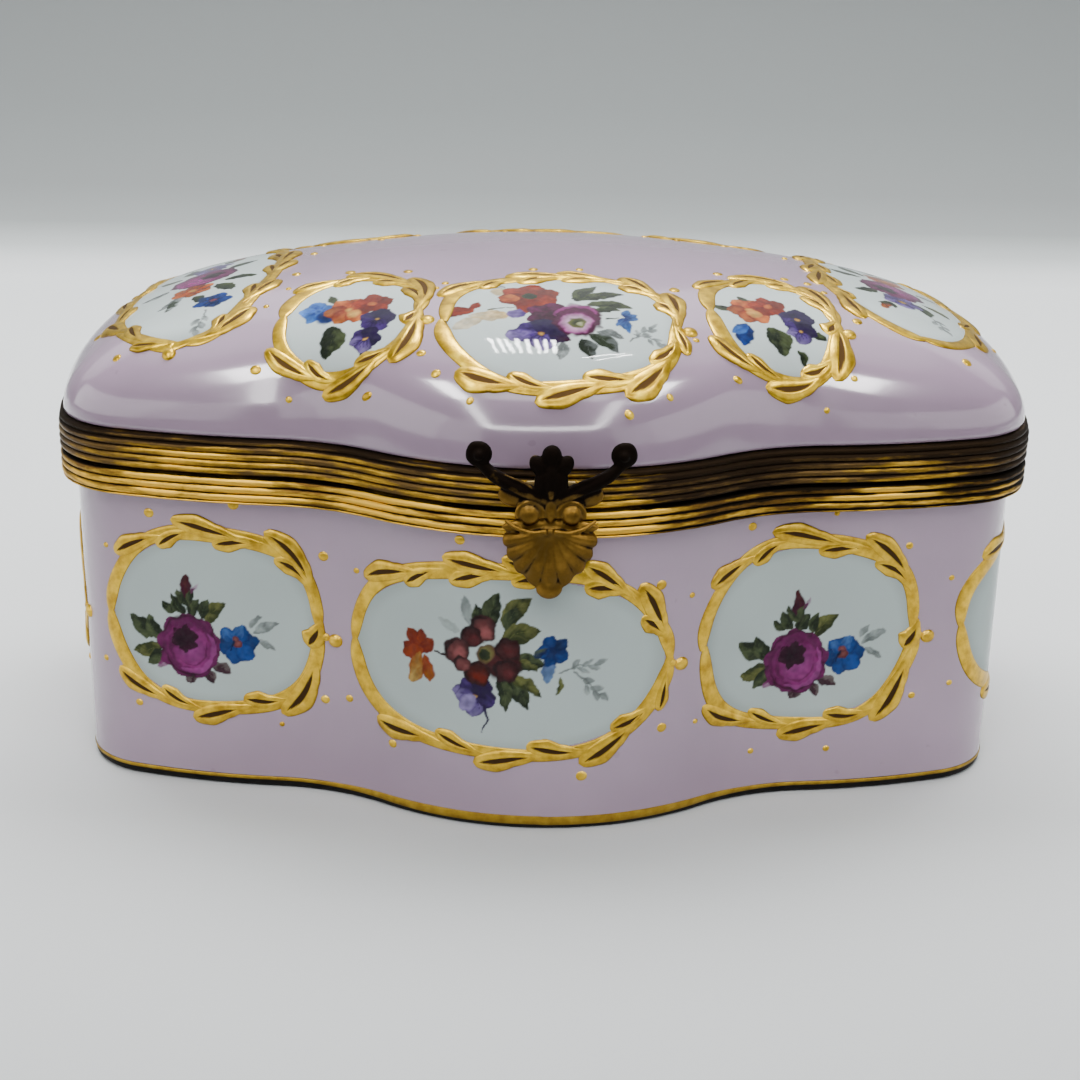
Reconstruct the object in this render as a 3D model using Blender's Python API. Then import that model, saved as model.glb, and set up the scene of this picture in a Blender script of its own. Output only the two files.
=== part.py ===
"""Porcelain trinket box with a domed lid, in metres, +Z up, front towards -Y.

A serpentine porcelain body and lid each carry a reeded brass mount bedded on cement. The two
mounts meet at a plane joint, turn on a five-knuckle hinge at the back and close with a shell
clasp whose forked spring grips a stud at the front. The origin is under the middle of the foot.
"""
import math

import bmesh
import bpy

MM = 0.001

# ---------------------------------------------------------------- driving dimensions
# Plan outline of the body's wall: one quadrant, from the middle of the front to the middle of
# the side, as arcs of (radius, turn in degrees, segments). A negative turn bends inwards.
PLAN_ARCS = (
    (35 * MM, 33.5, 5),
    (28 * MM, -29.0, 4),
    (82.156 * MM, 13.1, 2),
    (10 * MM, 62.9, 6),
    (101.354 * MM, 9.5, 2),
)

JOINT_Z = 41.2 * MM          # the plane where the lid's mount meets the body's
HALF_GAP = 0.2 * MM          # half of the line between the two mounts
FIT = 0.2 * MM               # gap left between two pieces that touch
WALL = 3.4 * MM              # porcelain wall
FOOT_RECESS = 1.0 * MM
FLOOR_TOP = 4.0 * MM

BODY_RIM_Z = 39.2 * MM
BODY_MOUNT_FOOT_Z = 37.8 * MM
MOUNT_PROUD = 1.9 * MM       # a reed's crest, outside the body's wall
REED_DEPTH = 0.45 * MM
BODY_REEDS = 3
LID_REEDS = 4

LID_MOUNT_TOP_Z = 45.7 * MM
LID_RIM_Z = 43.2 * MM
LID_SHOULDER_Z = 46.0 * MM   # where the dome starts, over the lid's mount
LID_PROUD = 1.2 * MM         # the lid's glaze stands this far outside the body's wall
LID_TOP_Z = 62.5 * MM
LID_INSIDE_TOP_Z = 59.3 * MM
DOME_STEPS = 10
DOME_FULLNESS = 2.5          # exponents of the dome's section: with 2 and 2 it is an ellipse
DOME_SQUARENESS = 2.2
DOME_HALF_AXES = (57 * MM, 42 * MM)   # the oval that the outline softens into, going up
DOME_SOFTENING = 3.0

KNUCKLE_LENGTH = 4.0 * MM
KNUCKLE_GAP = 0.25 * MM
KNUCKLE_RADIUS = 1.5 * MM
KNUCKLE_BORE_RADIUS = 0.85 * MM
KNUCKLE_ROLES = ("body", "lid", "body", "lid", "body")
KNUCKLE_NAMES = (
    "hinge_body_knuckle_left",
    "hinge_lid_knuckle_left",
    "hinge_body_knuckle_centre",
    "hinge_lid_knuckle_right",
    "hinge_body_knuckle_right",
)
PIN_RADIUS = 0.65 * MM
PIN_HEAD_RADIUS = 1.1 * MM
PIN_HEAD_LENGTH = 0.5 * MM
LEAF_THICKNESS = 0.9 * MM
LEAF_REACH = {"body": -3.2 * MM, "lid": 4.2 * MM}

SPRING_HALF_WIDTH = 3.0 * MM
SPRING_THICKNESS = 0.4 * MM
SPRING_TOP_Z = 45.0 * MM
SPRING_FOOT_Z = 36.0 * MM
STUD_Z = 39.3 * MM
STUD_RADIUS = 0.7 * MM
STUD_HEAD_RADIUS = 1.4 * MM
STUD_HEAD_LENGTH = 0.4 * MM
SLOT_HALF_WIDTH = 1.0 * MM

SHELL_LOBES = 9
SHELL_HALF_WIDTH = 5.6 * MM
SHELL_CENTRE_Z = 37.6 * MM
SHELL_TONGUE_Z = 30.6 * MM
VOLUTE_X = 8.0 * MM
VOLUTE_Z = 47.3 * MM
VOLUTE_RADIUS = 1.6 * MM
PALMETTE_Z = 45.2 * MM
EYE_X = 2.2 * MM
EYE_Z = 40.7 * MM


# ---------------------------------------------------------------- plan outline
def quadrant():
    """Points and outward normals from the middle of the front to the middle of the side."""
    x = y = heading = 0.0
    stations = [(x, y, heading)]
    for radius, turn, segments in PLAN_ARCS:
        step = math.radians(turn) / segments
        chord = 2.0 * radius * math.sin(abs(step) / 2.0)
        for _ in range(segments):
            x += chord * math.cos(heading + step / 2.0)
            y += chord * math.sin(heading + step / 2.0)
            heading += step
            stations.append((x, y, heading))
    return stations


QUADRANT = quadrant()
HALF_DEPTH = QUADRANT[-1][1]


def outline(offset):
    """The closed plan outline, moved outwards by offset, anticlockwise from the front's middle."""
    corner = []
    for x, y, heading in QUADRANT:
        px = x + offset * math.sin(heading)
        py = y - HALF_DEPTH - offset * math.cos(heading)
        corner.append((px, py))
    corner[0] = (0.0, corner[0][1])
    corner[-1] = (corner[-1][0], 0.0)
    back = [(x, -y) for x, y in reversed(corner[:-1])]
    right = corner + back
    left = [(-x, y) for x, y in reversed(right[1:-1])]
    return right + left


def ring(offset, z):
    return [(x, y, z) for x, y in outline(offset)]


def dome_ring(angle, offset, shoulder_z, top_z, inset):
    """One level of a dome: 90 degrees at the shoulder and 0 at the crown."""
    reach = math.sin(angle) ** (2.0 / DOME_FULLNESS)
    weight = reach ** DOME_SOFTENING
    z = shoulder_z + (top_z - shoulder_z) * max(math.cos(angle), 0.0) ** (2.0 / DOME_SQUARENESS)
    points = []
    for x, y in outline(offset):
        around = math.atan2(y, x)
        oval_x = (DOME_HALF_AXES[0] - inset) * math.cos(around)
        oval_y = (DOME_HALF_AXES[1] - inset) * math.sin(around)
        px = reach * (weight * x + (1.0 - weight) * oval_x)
        py = reach * (weight * y + (1.0 - weight) * oval_y)
        points.append((px, py, z))
    return points


# ---------------------------------------------------------------- mesh helpers
def clear_scene():
    for item in list(bpy.data.objects):
        bpy.data.objects.remove(item, do_unlink=True)


def material(name, colour, roughness, metallic):
    made = bpy.data.materials.new(name)
    made.use_nodes = True
    shader = made.node_tree.nodes["Principled BSDF"]
    shader.inputs["Base Color"].default_value = (*colour, 1.0)
    shader.inputs["Roughness"].default_value = roughness
    shader.inputs["Metallic"].default_value = metallic
    return made


def add_object(name, bm, finish, smooth_angle=35.0):
    """Turn a bmesh into a linked object whose faces all point out."""
    bmesh.ops.recalc_face_normals(bm, faces=bm.faces)
    mesh = bpy.data.meshes.new(name)
    bm.to_mesh(mesh)
    bm.free()
    mesh.materials.append(finish)
    mesh.shade_smooth()
    mesh.set_sharp_from_angle(angle=math.radians(smooth_angle))
    made = bpy.data.objects.new(name, mesh)
    bpy.context.scene.collection.objects.link(made)
    return made


def loft(rings, endless=False, first_cap="flat", last_cap="flat"):
    """Skin a list of rings. Endless joins the last ring to the first, as in a moulding;
    otherwise each end is a flat cap, or a fan of triangles that ends in a centre point."""
    bm = bmesh.new()
    levels = [[bm.verts.new(point) for point in level] for level in rings]
    pairs = list(zip(levels, levels[1:]))
    if endless:
        pairs.append((levels[-1], levels[0]))
    for low, high in pairs:
        for i in range(len(low)):
            j = (i + 1) % len(low)
            bm.faces.new((low[i], low[j], high[j], high[i]))
    if not endless:
        cap(bm, levels[0], first_cap)
        cap(bm, levels[-1], last_cap)
    return bm


def cap(bm, level, kind):
    if kind == "flat":
        bm.faces.new(level)
        return
    centre = bm.verts.new((0.0, 0.0, kind))
    for i in range(len(level)):
        bm.faces.new((level[i], level[(i + 1) % len(level)], centre))


def prism(points, low_x, high_x):
    """A solid of constant (y, z) section between two values of x."""
    bm = bmesh.new()
    ends = [[bm.verts.new((x, y, z)) for y, z in points] for x in (low_x, high_x)]
    for i in range(len(points)):
        j = (i + 1) % len(points)
        bm.faces.new((ends[0][i], ends[0][j], ends[1][j], ends[1][i]))
    bm.faces.new(ends[0])
    bm.faces.new(ends[1])
    return bm


def turned(stations, sides, axis):
    """A solid turned about an axis through the origin: stations are (place, radius)."""
    bm = bmesh.new()
    levels = []
    for place, radius in stations:
        level = []
        for i in range(sides):
            around = 2.0 * math.pi * i / sides
            across = (radius * math.cos(around), radius * math.sin(around))
            point = (place, *across) if axis == "x" else (across[0], place, across[1])
            level.append(bm.verts.new(point))
        levels.append(level)
    for low, high in zip(levels, levels[1:]):
        for i in range(sides):
            j = (i + 1) % sides
            bm.faces.new((low[i], low[j], high[j], high[i]))
    bm.faces.new(levels[0])
    bm.faces.new(levels[-1])
    return bm


def bake_modifiers(target):
    graph = bpy.context.evaluated_depsgraph_get()
    mesh = bpy.data.meshes.new_from_object(target.evaluated_get(graph))
    target.modifiers.clear()
    target.data = mesh


def combine(target, tools, operation):
    """Union or cut the tools into the target, then throw them away."""
    for tool in tools:
        step = target.modifiers.new(tool.name, "BOOLEAN")
        step.operation = operation
        step.solver = "EXACT"
        step.object = tool
    bpy.context.view_layer.update()
    bake_modifiers(target)
    for tool in tools:
        bpy.data.objects.remove(tool, do_unlink=True)


# ---------------------------------------------------------------- porcelain and cement
def body_porcelain(finish):
    """The body, from under the floor, round the foot, up the wall and down to the well's floor."""
    section = (
        (-WALL - 0.8 * MM, FOOT_RECESS),
        (-WALL, 0.0),
        (-0.8 * MM, 0.0),
        (-0.25 * MM, 0.35 * MM),
        (0.0, 1.1 * MM),
        (0.0, BODY_RIM_Z),
        (-WALL, BODY_RIM_Z),
        (-WALL, FLOOR_TOP + 2.2 * MM),
        (-WALL - 0.7 * MM, FLOOR_TOP + 0.6 * MM),
        (-WALL - 2.2 * MM, FLOOR_TOP),
    )
    rings = [ring(offset, z) for offset, z in section]
    return add_object("body_porcelain", loft(rings), finish)


def lid_porcelain(finish):
    """The lid: the dome outside, the rebate behind the mount, and the hollow inside."""
    angles = [math.radians(90.0 * step / DOME_STEPS) for step in range(1, DOME_STEPS + 1)]
    outside = [dome_ring(a, LID_PROUD, LID_SHOULDER_Z, LID_TOP_Z, 0.0) for a in angles]
    inside = [dome_ring(a, -WALL, LID_SHOULDER_Z, LID_INSIDE_TOP_Z, WALL) for a in angles]
    rebate = [ring(0.0, LID_SHOULDER_Z - 0.1 * MM), ring(0.0, LID_RIM_Z), ring(-WALL, LID_RIM_Z)]
    rings = outside + rebate + inside[::-1]
    skin = loft(rings, first_cap=LID_TOP_Z, last_cap=LID_INSIDE_TOP_Z)
    return add_object("lid_porcelain", skin, finish)


def cement_bed(name, low_z, high_z, finish):
    """The bedding compound between a porcelain rim and the flange of its mount."""
    inner = -WALL + 0.2 * MM
    outer = -0.1 * MM
    section = ((inner, low_z), (outer, low_z), (outer, high_z), (inner, high_z))
    rings = [ring(offset, z) for offset, z in section]
    return add_object(name, loft(rings, endless=True), finish)


# ---------------------------------------------------------------- brass mounts
def reeds(low_z, high_z, count):
    """The moulded face of a mount, upwards: rounded reeds between sharp grooves."""
    crest = MOUNT_PROUD
    groove = MOUNT_PROUD - REED_DEPTH
    pitch = (high_z - low_z) / count
    face = [(groove, low_z)]
    for i in range(count):
        foot = low_z + pitch * i
        face.append((crest, foot + 0.3 * pitch))
        face.append((crest, foot + 0.7 * pitch))
        face.append((groove, foot + pitch))
    return face


def mount(name, joint_z, far_z, lip_z, count, finish):
    """A channel moulding: reeded face outside, flange over the rim, short lip inside."""
    up = 1.0 if far_z > joint_z else -1.0
    flange_z = joint_z + up * 0.65 * MM
    inside_lip = -WALL - 0.3 * MM
    lip_face = inside_lip - 0.6 * MM
    face = reeds(min(joint_z, far_z), max(joint_z, far_z), count)
    if up < 0.0:
        face.reverse()
    channel = [
        (0.3 * MM, far_z),
        (0.3 * MM, flange_z),
        (inside_lip, flange_z),
        (inside_lip, lip_z),
        (lip_face, lip_z),
        (lip_face, joint_z),
    ]
    rings = [ring(offset, z) for offset, z in face + channel]
    return add_object(name, loft(rings, endless=True), finish)


# ---------------------------------------------------------------- hinge
def mount_face_drop(x):
    """How far the mount's curved back falls away from its apex at a distance x to one side."""
    radius = PLAN_ARCS[0][0] + MOUNT_PROUD
    return radius - math.sqrt(radius * radius - x * x)


def knuckle(name, centre_x, reach, finish):
    """A barrel with a leaf that lies along the mount, bored for the pin."""
    sides = 14
    low_x = centre_x - KNUCKLE_LENGTH / 2.0
    high_x = centre_x + KNUCKLE_LENGTH / 2.0
    circle = []
    for i in range(sides):
        around = 2.0 * math.pi * (i + 0.5) / sides
        circle.append((KNUCKLE_RADIUS * math.cos(around), KNUCKLE_RADIUS * math.sin(around)))
    barrel = add_object(name, prism(circle, low_x, high_x), finish)
    outer_y = -KNUCKLE_RADIUS + LEAF_THICKNESS
    root_z = math.copysign(HALF_GAP + 0.15 * MM, reach)
    leaf_section = ((-KNUCKLE_RADIUS, root_z), (outer_y, root_z), (outer_y, reach), (-KNUCKLE_RADIUS, reach))
    leaf = add_object("leaf", prism(leaf_section, low_x, high_x), finish)
    for vertex in leaf.data.vertices:
        if vertex.co.y < outer_y - 0.1 * MM:
            vertex.co.y -= mount_face_drop(vertex.co.x)
    combine(barrel, [leaf], "UNION")
    bore_half = KNUCKLE_LENGTH / 2.0 + 1.0 * MM
    stations = ((-bore_half, KNUCKLE_BORE_RADIUS), (bore_half, KNUCKLE_BORE_RADIUS))
    bore = add_object("bore", turned(stations, 12, "x"), finish)
    bore.location.x = centre_x
    combine(barrel, [bore], "DIFFERENCE")
    return barrel


def hinge_pin(finish):
    """The pin, with both ends peened over."""
    half = 2.5 * KNUCKLE_LENGTH + 2.0 * KNUCKLE_GAP + FIT
    end = half + PIN_HEAD_LENGTH
    stations = (
        (-end, 0.6 * PIN_HEAD_RADIUS),
        (-half - 0.25 * MM, PIN_HEAD_RADIUS),
        (-half, PIN_HEAD_RADIUS),
        (-half, PIN_RADIUS),
        (half, PIN_RADIUS),
        (half, PIN_HEAD_RADIUS),
        (half + 0.25 * MM, PIN_HEAD_RADIUS),
        (end, 0.6 * PIN_HEAD_RADIUS),
    )
    return add_object("hinge_pin", turned(stations, 12, "x"), finish)


# ---------------------------------------------------------------- clasp
def clasp_spring(finish):
    """A forked strip of spring brass, its slot open at the foot so that it lifts off the stud."""
    slot_top = STUD_Z + STUD_RADIUS + 0.5 * MM
    shape = (
        (-SPRING_HALF_WIDTH, SPRING_FOOT_Z),
        (-SLOT_HALF_WIDTH - 0.4 * MM, SPRING_FOOT_Z),
        (-SLOT_HALF_WIDTH, SPRING_FOOT_Z + 1.0 * MM),
        (-SLOT_HALF_WIDTH, slot_top - 0.5 * MM),
        (-0.5 * MM, slot_top),
        (0.5 * MM, slot_top),
        (SLOT_HALF_WIDTH, slot_top - 0.5 * MM),
        (SLOT_HALF_WIDTH, SPRING_FOOT_Z + 1.0 * MM),
        (SLOT_HALF_WIDTH + 0.4 * MM, SPRING_FOOT_Z),
        (SPRING_HALF_WIDTH, SPRING_FOOT_Z),
        (SPRING_HALF_WIDTH, SPRING_TOP_Z),
        (-SPRING_HALF_WIDTH, SPRING_TOP_Z),
    )
    bm = bmesh.new()
    faces = [[bm.verts.new((x, y, z)) for x, z in shape] for y in (0.0, -SPRING_THICKNESS)]
    for i in range(len(shape)):
        j = (i + 1) % len(shape)
        bm.faces.new((faces[0][i], faces[0][j], faces[1][j], faces[1][i]))
    bm.faces.new(faces[0])
    bm.faces.new(faces[1])
    return add_object("clasp_spring", bm, finish)


def catch_stud(finish):
    """The headed stud on the body's mount."""
    shank = 0.8 * MM
    stations = (
        (0.0, STUD_RADIUS),
        (-shank, STUD_RADIUS),
        (-shank, STUD_HEAD_RADIUS),
        (-shank - 0.2 * MM, STUD_HEAD_RADIUS),
        (-shank - STUD_HEAD_LENGTH, 0.6 * STUD_HEAD_RADIUS),
    )
    return add_object("catch_stud", turned(stations, 14, "y"), finish)


def dished_plate(outline_xz, back_y, edge_y, crown_y, centre):
    """A cast plate: flat back, a vertical edge and a crowned front."""
    bm = bmesh.new()
    back = [bm.verts.new((x, back_y, z)) for x, z in outline_xz]
    edge = [bm.verts.new((x, edge_y, z)) for x, z in outline_xz]
    mid_y = edge_y + 0.75 * (crown_y - edge_y)
    middle = []
    for x, z in outline_xz:
        px = centre[0] + 0.55 * (x - centre[0])
        pz = centre[1] + 0.55 * (z - centre[1])
        middle.append(bm.verts.new((px, mid_y, pz)))
    crown = bm.verts.new((centre[0], crown_y, centre[1]))
    bm.faces.new(back)
    count = len(outline_xz)
    for i in range(count):
        j = (i + 1) % count
        bm.faces.new((back[i], back[j], edge[j], edge[i]))
        bm.faces.new((edge[i], edge[j], middle[j], middle[i]))
        bm.faces.new((middle[i], middle[j], crown))
    return bm


def shell_outline():
    """The scallop's edge: a fan of lobes, the lowest drawn out into a tongue."""
    points = []
    per_lobe = 4
    drop = SHELL_CENTRE_Z - SHELL_TONGUE_Z
    for lobe in range(SHELL_LOBES):
        for step in range(per_lobe):
            share = (lobe + step / per_lobe) / SHELL_LOBES
            around = math.radians(160.0 + 220.0 * share)
            swell = 1.0 + 0.09 * math.sin(math.pi * step / per_lobe)
            reach = SHELL_HALF_WIDTH * swell * 0.93
            x = reach * math.cos(around)
            z = SHELL_CENTRE_Z + reach * math.sin(around)
            if lobe == SHELL_LOBES // 2:
                z -= (drop - SHELL_HALF_WIDTH) * 0.9 * math.sin(math.pi * (step + 0.5) / per_lobe)
            points.append((x, z))
    return points


def oval(centre_x, centre_z, half_x, half_z, sides):
    points = []
    for i in range(sides):
        around = 2.0 * math.pi * i / sides
        points.append((centre_x + half_x * math.cos(around), centre_z + half_z * math.sin(around)))
    return points


def arm(side):
    """One scrolled arm as a bar that follows a curve from the stem out to its volute."""
    steps = 7
    across = 0.75 * MM
    upper = []
    lower = []
    for i in range(steps + 1):
        share = i / steps
        x = side * (1.0 * MM + (VOLUTE_X - 0.4 * MM) * share)
        z = 43.2 * MM + 0.6 * MM * share + 2.6 * MM * share ** 3
        half = across * (1.35 - 0.6 * share)
        upper.append((x, z + half))
        lower.append((x, z - half))
    return upper + lower[::-1]


def clasp_ornament(finish):
    """The cast front of the clasp: shell, bosses, stem, palmette, arms and volutes."""
    plates = (
        (shell_outline(), -1.65 * MM, -2.2 * MM, -3.2 * MM, (0.0, SHELL_CENTRE_Z - 0.6 * MM)),
        (oval(0.0, 43.3 * MM, 4.3 * MM, 2.3 * MM, 18), -1.05 * MM, -1.9 * MM, -2.5 * MM, (0.0, 43.3 * MM)),
        (oval(0.0, PALMETTE_Z, 1.9 * MM, 3.1 * MM, 14), -1.1 * MM, -2.1 * MM, -3.0 * MM, (0.0, PALMETTE_Z)),
        (oval(-EYE_X, EYE_Z, 1.5 * MM, 1.5 * MM, 12), -1.7 * MM, -2.6 * MM, -3.1 * MM, (-EYE_X, EYE_Z)),
        (oval(EYE_X, EYE_Z, 1.5 * MM, 1.5 * MM, 12), -1.7 * MM, -2.6 * MM, -3.1 * MM, (EYE_X, EYE_Z)),
        (arm(-1.0), -1.15 * MM, -1.8 * MM, -2.2 * MM, (-4.2 * MM, 43.7 * MM)),
        (arm(1.0), -1.15 * MM, -1.8 * MM, -2.2 * MM, (4.2 * MM, 43.7 * MM)),
    )
    pieces = []
    for outline_xz, back_y, edge_y, crown_y, centre in plates:
        pieces.append(add_object("plate", dished_plate(outline_xz, back_y, edge_y, crown_y, centre), finish))
    for side in (-1.0, 1.0):
        circle = oval(side * VOLUTE_X, VOLUTE_Z, VOLUTE_RADIUS, VOLUTE_RADIUS, 12)
        boss = dished_plate(circle, -0.6 * MM, -1.6 * MM, -2.0 * MM, (side * VOLUTE_X, VOLUTE_Z))
        pieces.append(add_object("volute", boss, finish))
    ornament = pieces[0]
    ornament.name = "clasp_ornament"
    combine(ornament, pieces[1:], "UNION")
    return ornament


# ---------------------------------------------------------------- assembly
def place(item, parent, location):
    """Put a piece at a world location under a parent empty that isn't turned."""
    item.parent = parent
    item.location = [a - b for a, b in zip(location, parent.location)]


def empty(name, location):
    made = bpy.data.objects.new(name, None)
    made.empty_display_size = 0.01
    made.location = location
    bpy.context.scene.collection.objects.link(made)
    return made


def build():
    clear_scene()
    glaze = material("mauve_glazed_porcelain", (0.60, 0.47, 0.60), 0.12, 0.0)
    lid_glaze = material("mauve_glazed_lid", (0.62, 0.48, 0.62), 0.12, 0.0)
    cement = material("bedding_cement", (0.72, 0.69, 0.62), 0.9, 0.0)
    body_brass = material("body_mount_brass", (0.55, 0.38, 0.13), 0.38, 1.0)
    lid_brass = material("lid_mount_brass", (0.45, 0.31, 0.12), 0.42, 1.0)
    dark_brass = material("clasp_brass", (0.22, 0.14, 0.05), 0.45, 1.0)
    spring_brass = material("spring_brass", (0.50, 0.37, 0.15), 0.35, 1.0)
    stud_brass = material("stud_brass", (0.42, 0.30, 0.12), 0.4, 1.0)
    hinge_brass = material("hinge_brass", (0.34, 0.24, 0.10), 0.42, 1.0)
    pin_brass = material("pin_brass", (0.40, 0.29, 0.13), 0.35, 1.0)

    mount_face = HALF_DEPTH + MOUNT_PROUD
    hinge_axis = (0.0, mount_face + KNUCKLE_RADIUS + 0.25 * MM, JOINT_Z)
    body = empty("body", (0.0, 0.0, 0.0))
    lid = empty("lid", hinge_axis)
    middle = (0.0, 0.0, 0.0)

    low_joint = JOINT_Z - HALF_GAP
    high_joint = JOINT_Z + HALF_GAP
    place(body_porcelain(glaze), body, middle)
    place(cement_bed("body_cement", BODY_RIM_Z + FIT, low_joint - 0.85 * MM, cement), body, middle)
    body_mount = mount("body_mount", low_joint, BODY_MOUNT_FOOT_Z, 38.4 * MM, BODY_REEDS, body_brass)
    place(body_mount, body, middle)
    place(lid_porcelain(lid_glaze), lid, middle)
    place(cement_bed("lid_cement", high_joint + 0.85 * MM, LID_RIM_Z - FIT, cement), lid, middle)
    lid_mount = mount("lid_mount", high_joint, LID_MOUNT_TOP_Z, 44.0 * MM, LID_REEDS, lid_brass)
    place(lid_mount, lid, middle)

    pitch = KNUCKLE_LENGTH + KNUCKLE_GAP
    for i, (name, role) in enumerate(zip(KNUCKLE_NAMES, KNUCKLE_ROLES)):
        made = knuckle(name, (i - 2) * pitch, LEAF_REACH[role], hinge_brass)
        place(made, body if role == "body" else lid, hinge_axis)
    place(hinge_pin(pin_brass), body, hinge_axis)

    place(catch_stud(stud_brass), body, (0.0, -mount_face - FIT, STUD_Z))
    place(clasp_spring(spring_brass), lid, (0.0, -mount_face - 0.35 * MM, 0.0))
    place(clasp_ornament(dark_brass), lid, (0.0, -mount_face, 0.0))


build()
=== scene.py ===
"""The looks of the porcelain trinket box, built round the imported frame."""
import math

import bmesh
import bpy
import numpy as np
from mathutils import Matrix, Vector


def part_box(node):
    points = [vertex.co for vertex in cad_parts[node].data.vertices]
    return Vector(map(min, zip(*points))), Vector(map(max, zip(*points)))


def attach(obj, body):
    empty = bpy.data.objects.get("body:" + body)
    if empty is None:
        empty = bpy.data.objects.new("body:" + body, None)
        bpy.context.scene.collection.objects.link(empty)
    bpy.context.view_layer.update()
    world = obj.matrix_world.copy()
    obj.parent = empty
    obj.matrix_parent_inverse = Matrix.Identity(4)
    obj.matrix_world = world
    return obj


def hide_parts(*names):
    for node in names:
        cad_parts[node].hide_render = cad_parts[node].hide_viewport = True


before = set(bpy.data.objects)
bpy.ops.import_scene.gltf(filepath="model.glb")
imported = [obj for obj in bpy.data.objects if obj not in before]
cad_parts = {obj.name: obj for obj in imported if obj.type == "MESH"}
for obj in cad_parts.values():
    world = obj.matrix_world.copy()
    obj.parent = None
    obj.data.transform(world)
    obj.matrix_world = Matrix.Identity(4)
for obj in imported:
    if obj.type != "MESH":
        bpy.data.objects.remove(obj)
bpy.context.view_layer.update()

MM = 0.001


def box_mm(node):
    """A node's lowest and highest corners, in millimetres."""
    low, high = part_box(node)
    return np.array(low) / MM, np.array(high) / MM


# ---------------------------------------------------------------- sizes, in millimetres
BODY_LOW, BODY_HIGH = box_mm("body_porcelain")
LID_LOW, LID_HIGH = box_mm("lid_porcelain")
BODY_MOUNT_LOW, BODY_MOUNT_HIGH = box_mm("body_mount")
LID_MOUNT_LOW, LID_MOUNT_HIGH = box_mm("lid_mount")
STUD_LOW, STUD_HIGH = box_mm("catch_stud")
SPRING_LOW, SPRING_HIGH = box_mm("clasp_spring")
PIN_LOW, PIN_HIGH = box_mm("hinge_pin")
ORNAMENT_LOW, ORNAMENT_HIGH = box_mm("clasp_ornament")

# The plan outline, as in the solids: arcs of (radius, turn in degrees) from the front's middle
PLAN_ARCS = ((35.0, 33.5), (28.0, -29.0), (82.156, 13.1), (10.0, 62.9), (101.354, 9.5))
HALF_DEPTH = BODY_HIGH[1]
WALL = 3.4
LID_SHOULDER_Z = LID_MOUNT_HIGH[2] + 0.3
LID_RISE = LID_HIGH[2] - LID_SHOULDER_Z
LID_PROUD = LID_HIGH[0] - BODY_HIGH[0]
LID_INSIDE_RISE = LID_RISE - 3.2
DOME_FULLNESS = 2.5
DOME_SQUARENESS = 2.2
DOME_HALF_AXES = (57.0, 42.0)
DOME_SOFTENING = 3.0
MOUNT_PROUD = BODY_MOUNT_HIGH[0] - BODY_HIGH[0]
MOUNT_FACE = HALF_DEPTH + MOUNT_PROUD
AROUND = 560                    # stations round the outline
PAINT_STEP = 0.13               # the painted reserves' mesh spacing
PAINT_LIFT = 0.045              # how far their sheets lie over the glaze
RESERVE_SQUARENESS = 2.2        # 2 is an oval
BODY_FLOOR = 4.0                # height of the inside floor
FOOT_LINE_Z = 1.28
REED_DEPTH = 0.34
DENT = 0.10                     # how far the mouldings' crests wander
SHORTEST_LEAF = 3.6
SHELL_ROOT_Z = 38.9
BOSS_X, BOSS_Z = 2.35, 40.55
VOLUTE_X, VOLUTE_Z = ORNAMENT_HIGH[0] - 1.6, ORNAMENT_HIGH[2] - 1.6
CASTING_LIFT = 1.1
CASTING_VOXEL = 0.14
TUBE_SIDES = 12
CURVE_STEPS = 8
SPRING_SLOT_TOP = 40.5
LEAF_THICKNESS = 0.85


# ---------------------------------------------------------------- the outline and the dome
def arc_table():
    """Each arc's start: distance along, x, y, heading and curvature."""
    rows = []
    along = x = y = heading = 0.0
    for radius, degrees in PLAN_ARCS:
        turn = math.radians(degrees)
        curvature = math.copysign(1.0 / radius, turn)
        rows.append((along, x, y, heading, curvature))
        x += (math.sin(heading + turn) - math.sin(heading)) / curvature
        y -= (math.cos(heading + turn) - math.cos(heading)) / curvature
        heading += turn
        along += radius * abs(turn)
    return rows, along


ARC_ROWS, QUARTER = arc_table()
PERIMETER = 4.0 * QUARTER
STATIONS = np.linspace(0.0, PERIMETER, AROUND, endpoint=False)


def plan(s, offset=0.0):
    """Points and outward normals at distances s along the outline, from the front's middle
    towards +X."""
    s = np.mod(np.asarray(s, dtype=float), PERIMETER)
    quarter = np.minimum((s / QUARTER).astype(int), 3)
    local = s - quarter * QUARTER
    local = np.where(quarter % 2 == 1, QUARTER - local, local)
    x = np.zeros_like(local)
    y = np.zeros_like(local)
    heading = np.zeros_like(local)
    for along, x0, y0, heading0, curvature in ARC_ROWS:
        inside = local >= along - 1e-9
        turned = heading0 + curvature * (local - along)
        x = np.where(inside, x0 + (np.sin(turned) - math.sin(heading0)) / curvature, x)
        y = np.where(inside, y0 - (np.cos(turned) - math.cos(heading0)) / curvature, y)
        heading = np.where(inside, turned, heading)
    nx = np.sin(heading)
    ny = -np.cos(heading)
    y = y - HALF_DEPTH
    behind = np.where((quarter == 1) | (quarter == 2), -1.0, 1.0)
    left = np.where(quarter >= 2, -1.0, 1.0)
    x, nx = x * left, nx * left
    y, ny = y * behind, ny * behind
    return x + offset * nx, y + offset * ny, nx, ny


def wall_point(s, offset, z):
    x, y, _, _ = plan(s, offset)
    return np.stack([x, y, np.broadcast_to(z, x.shape)], axis=-1)


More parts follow.
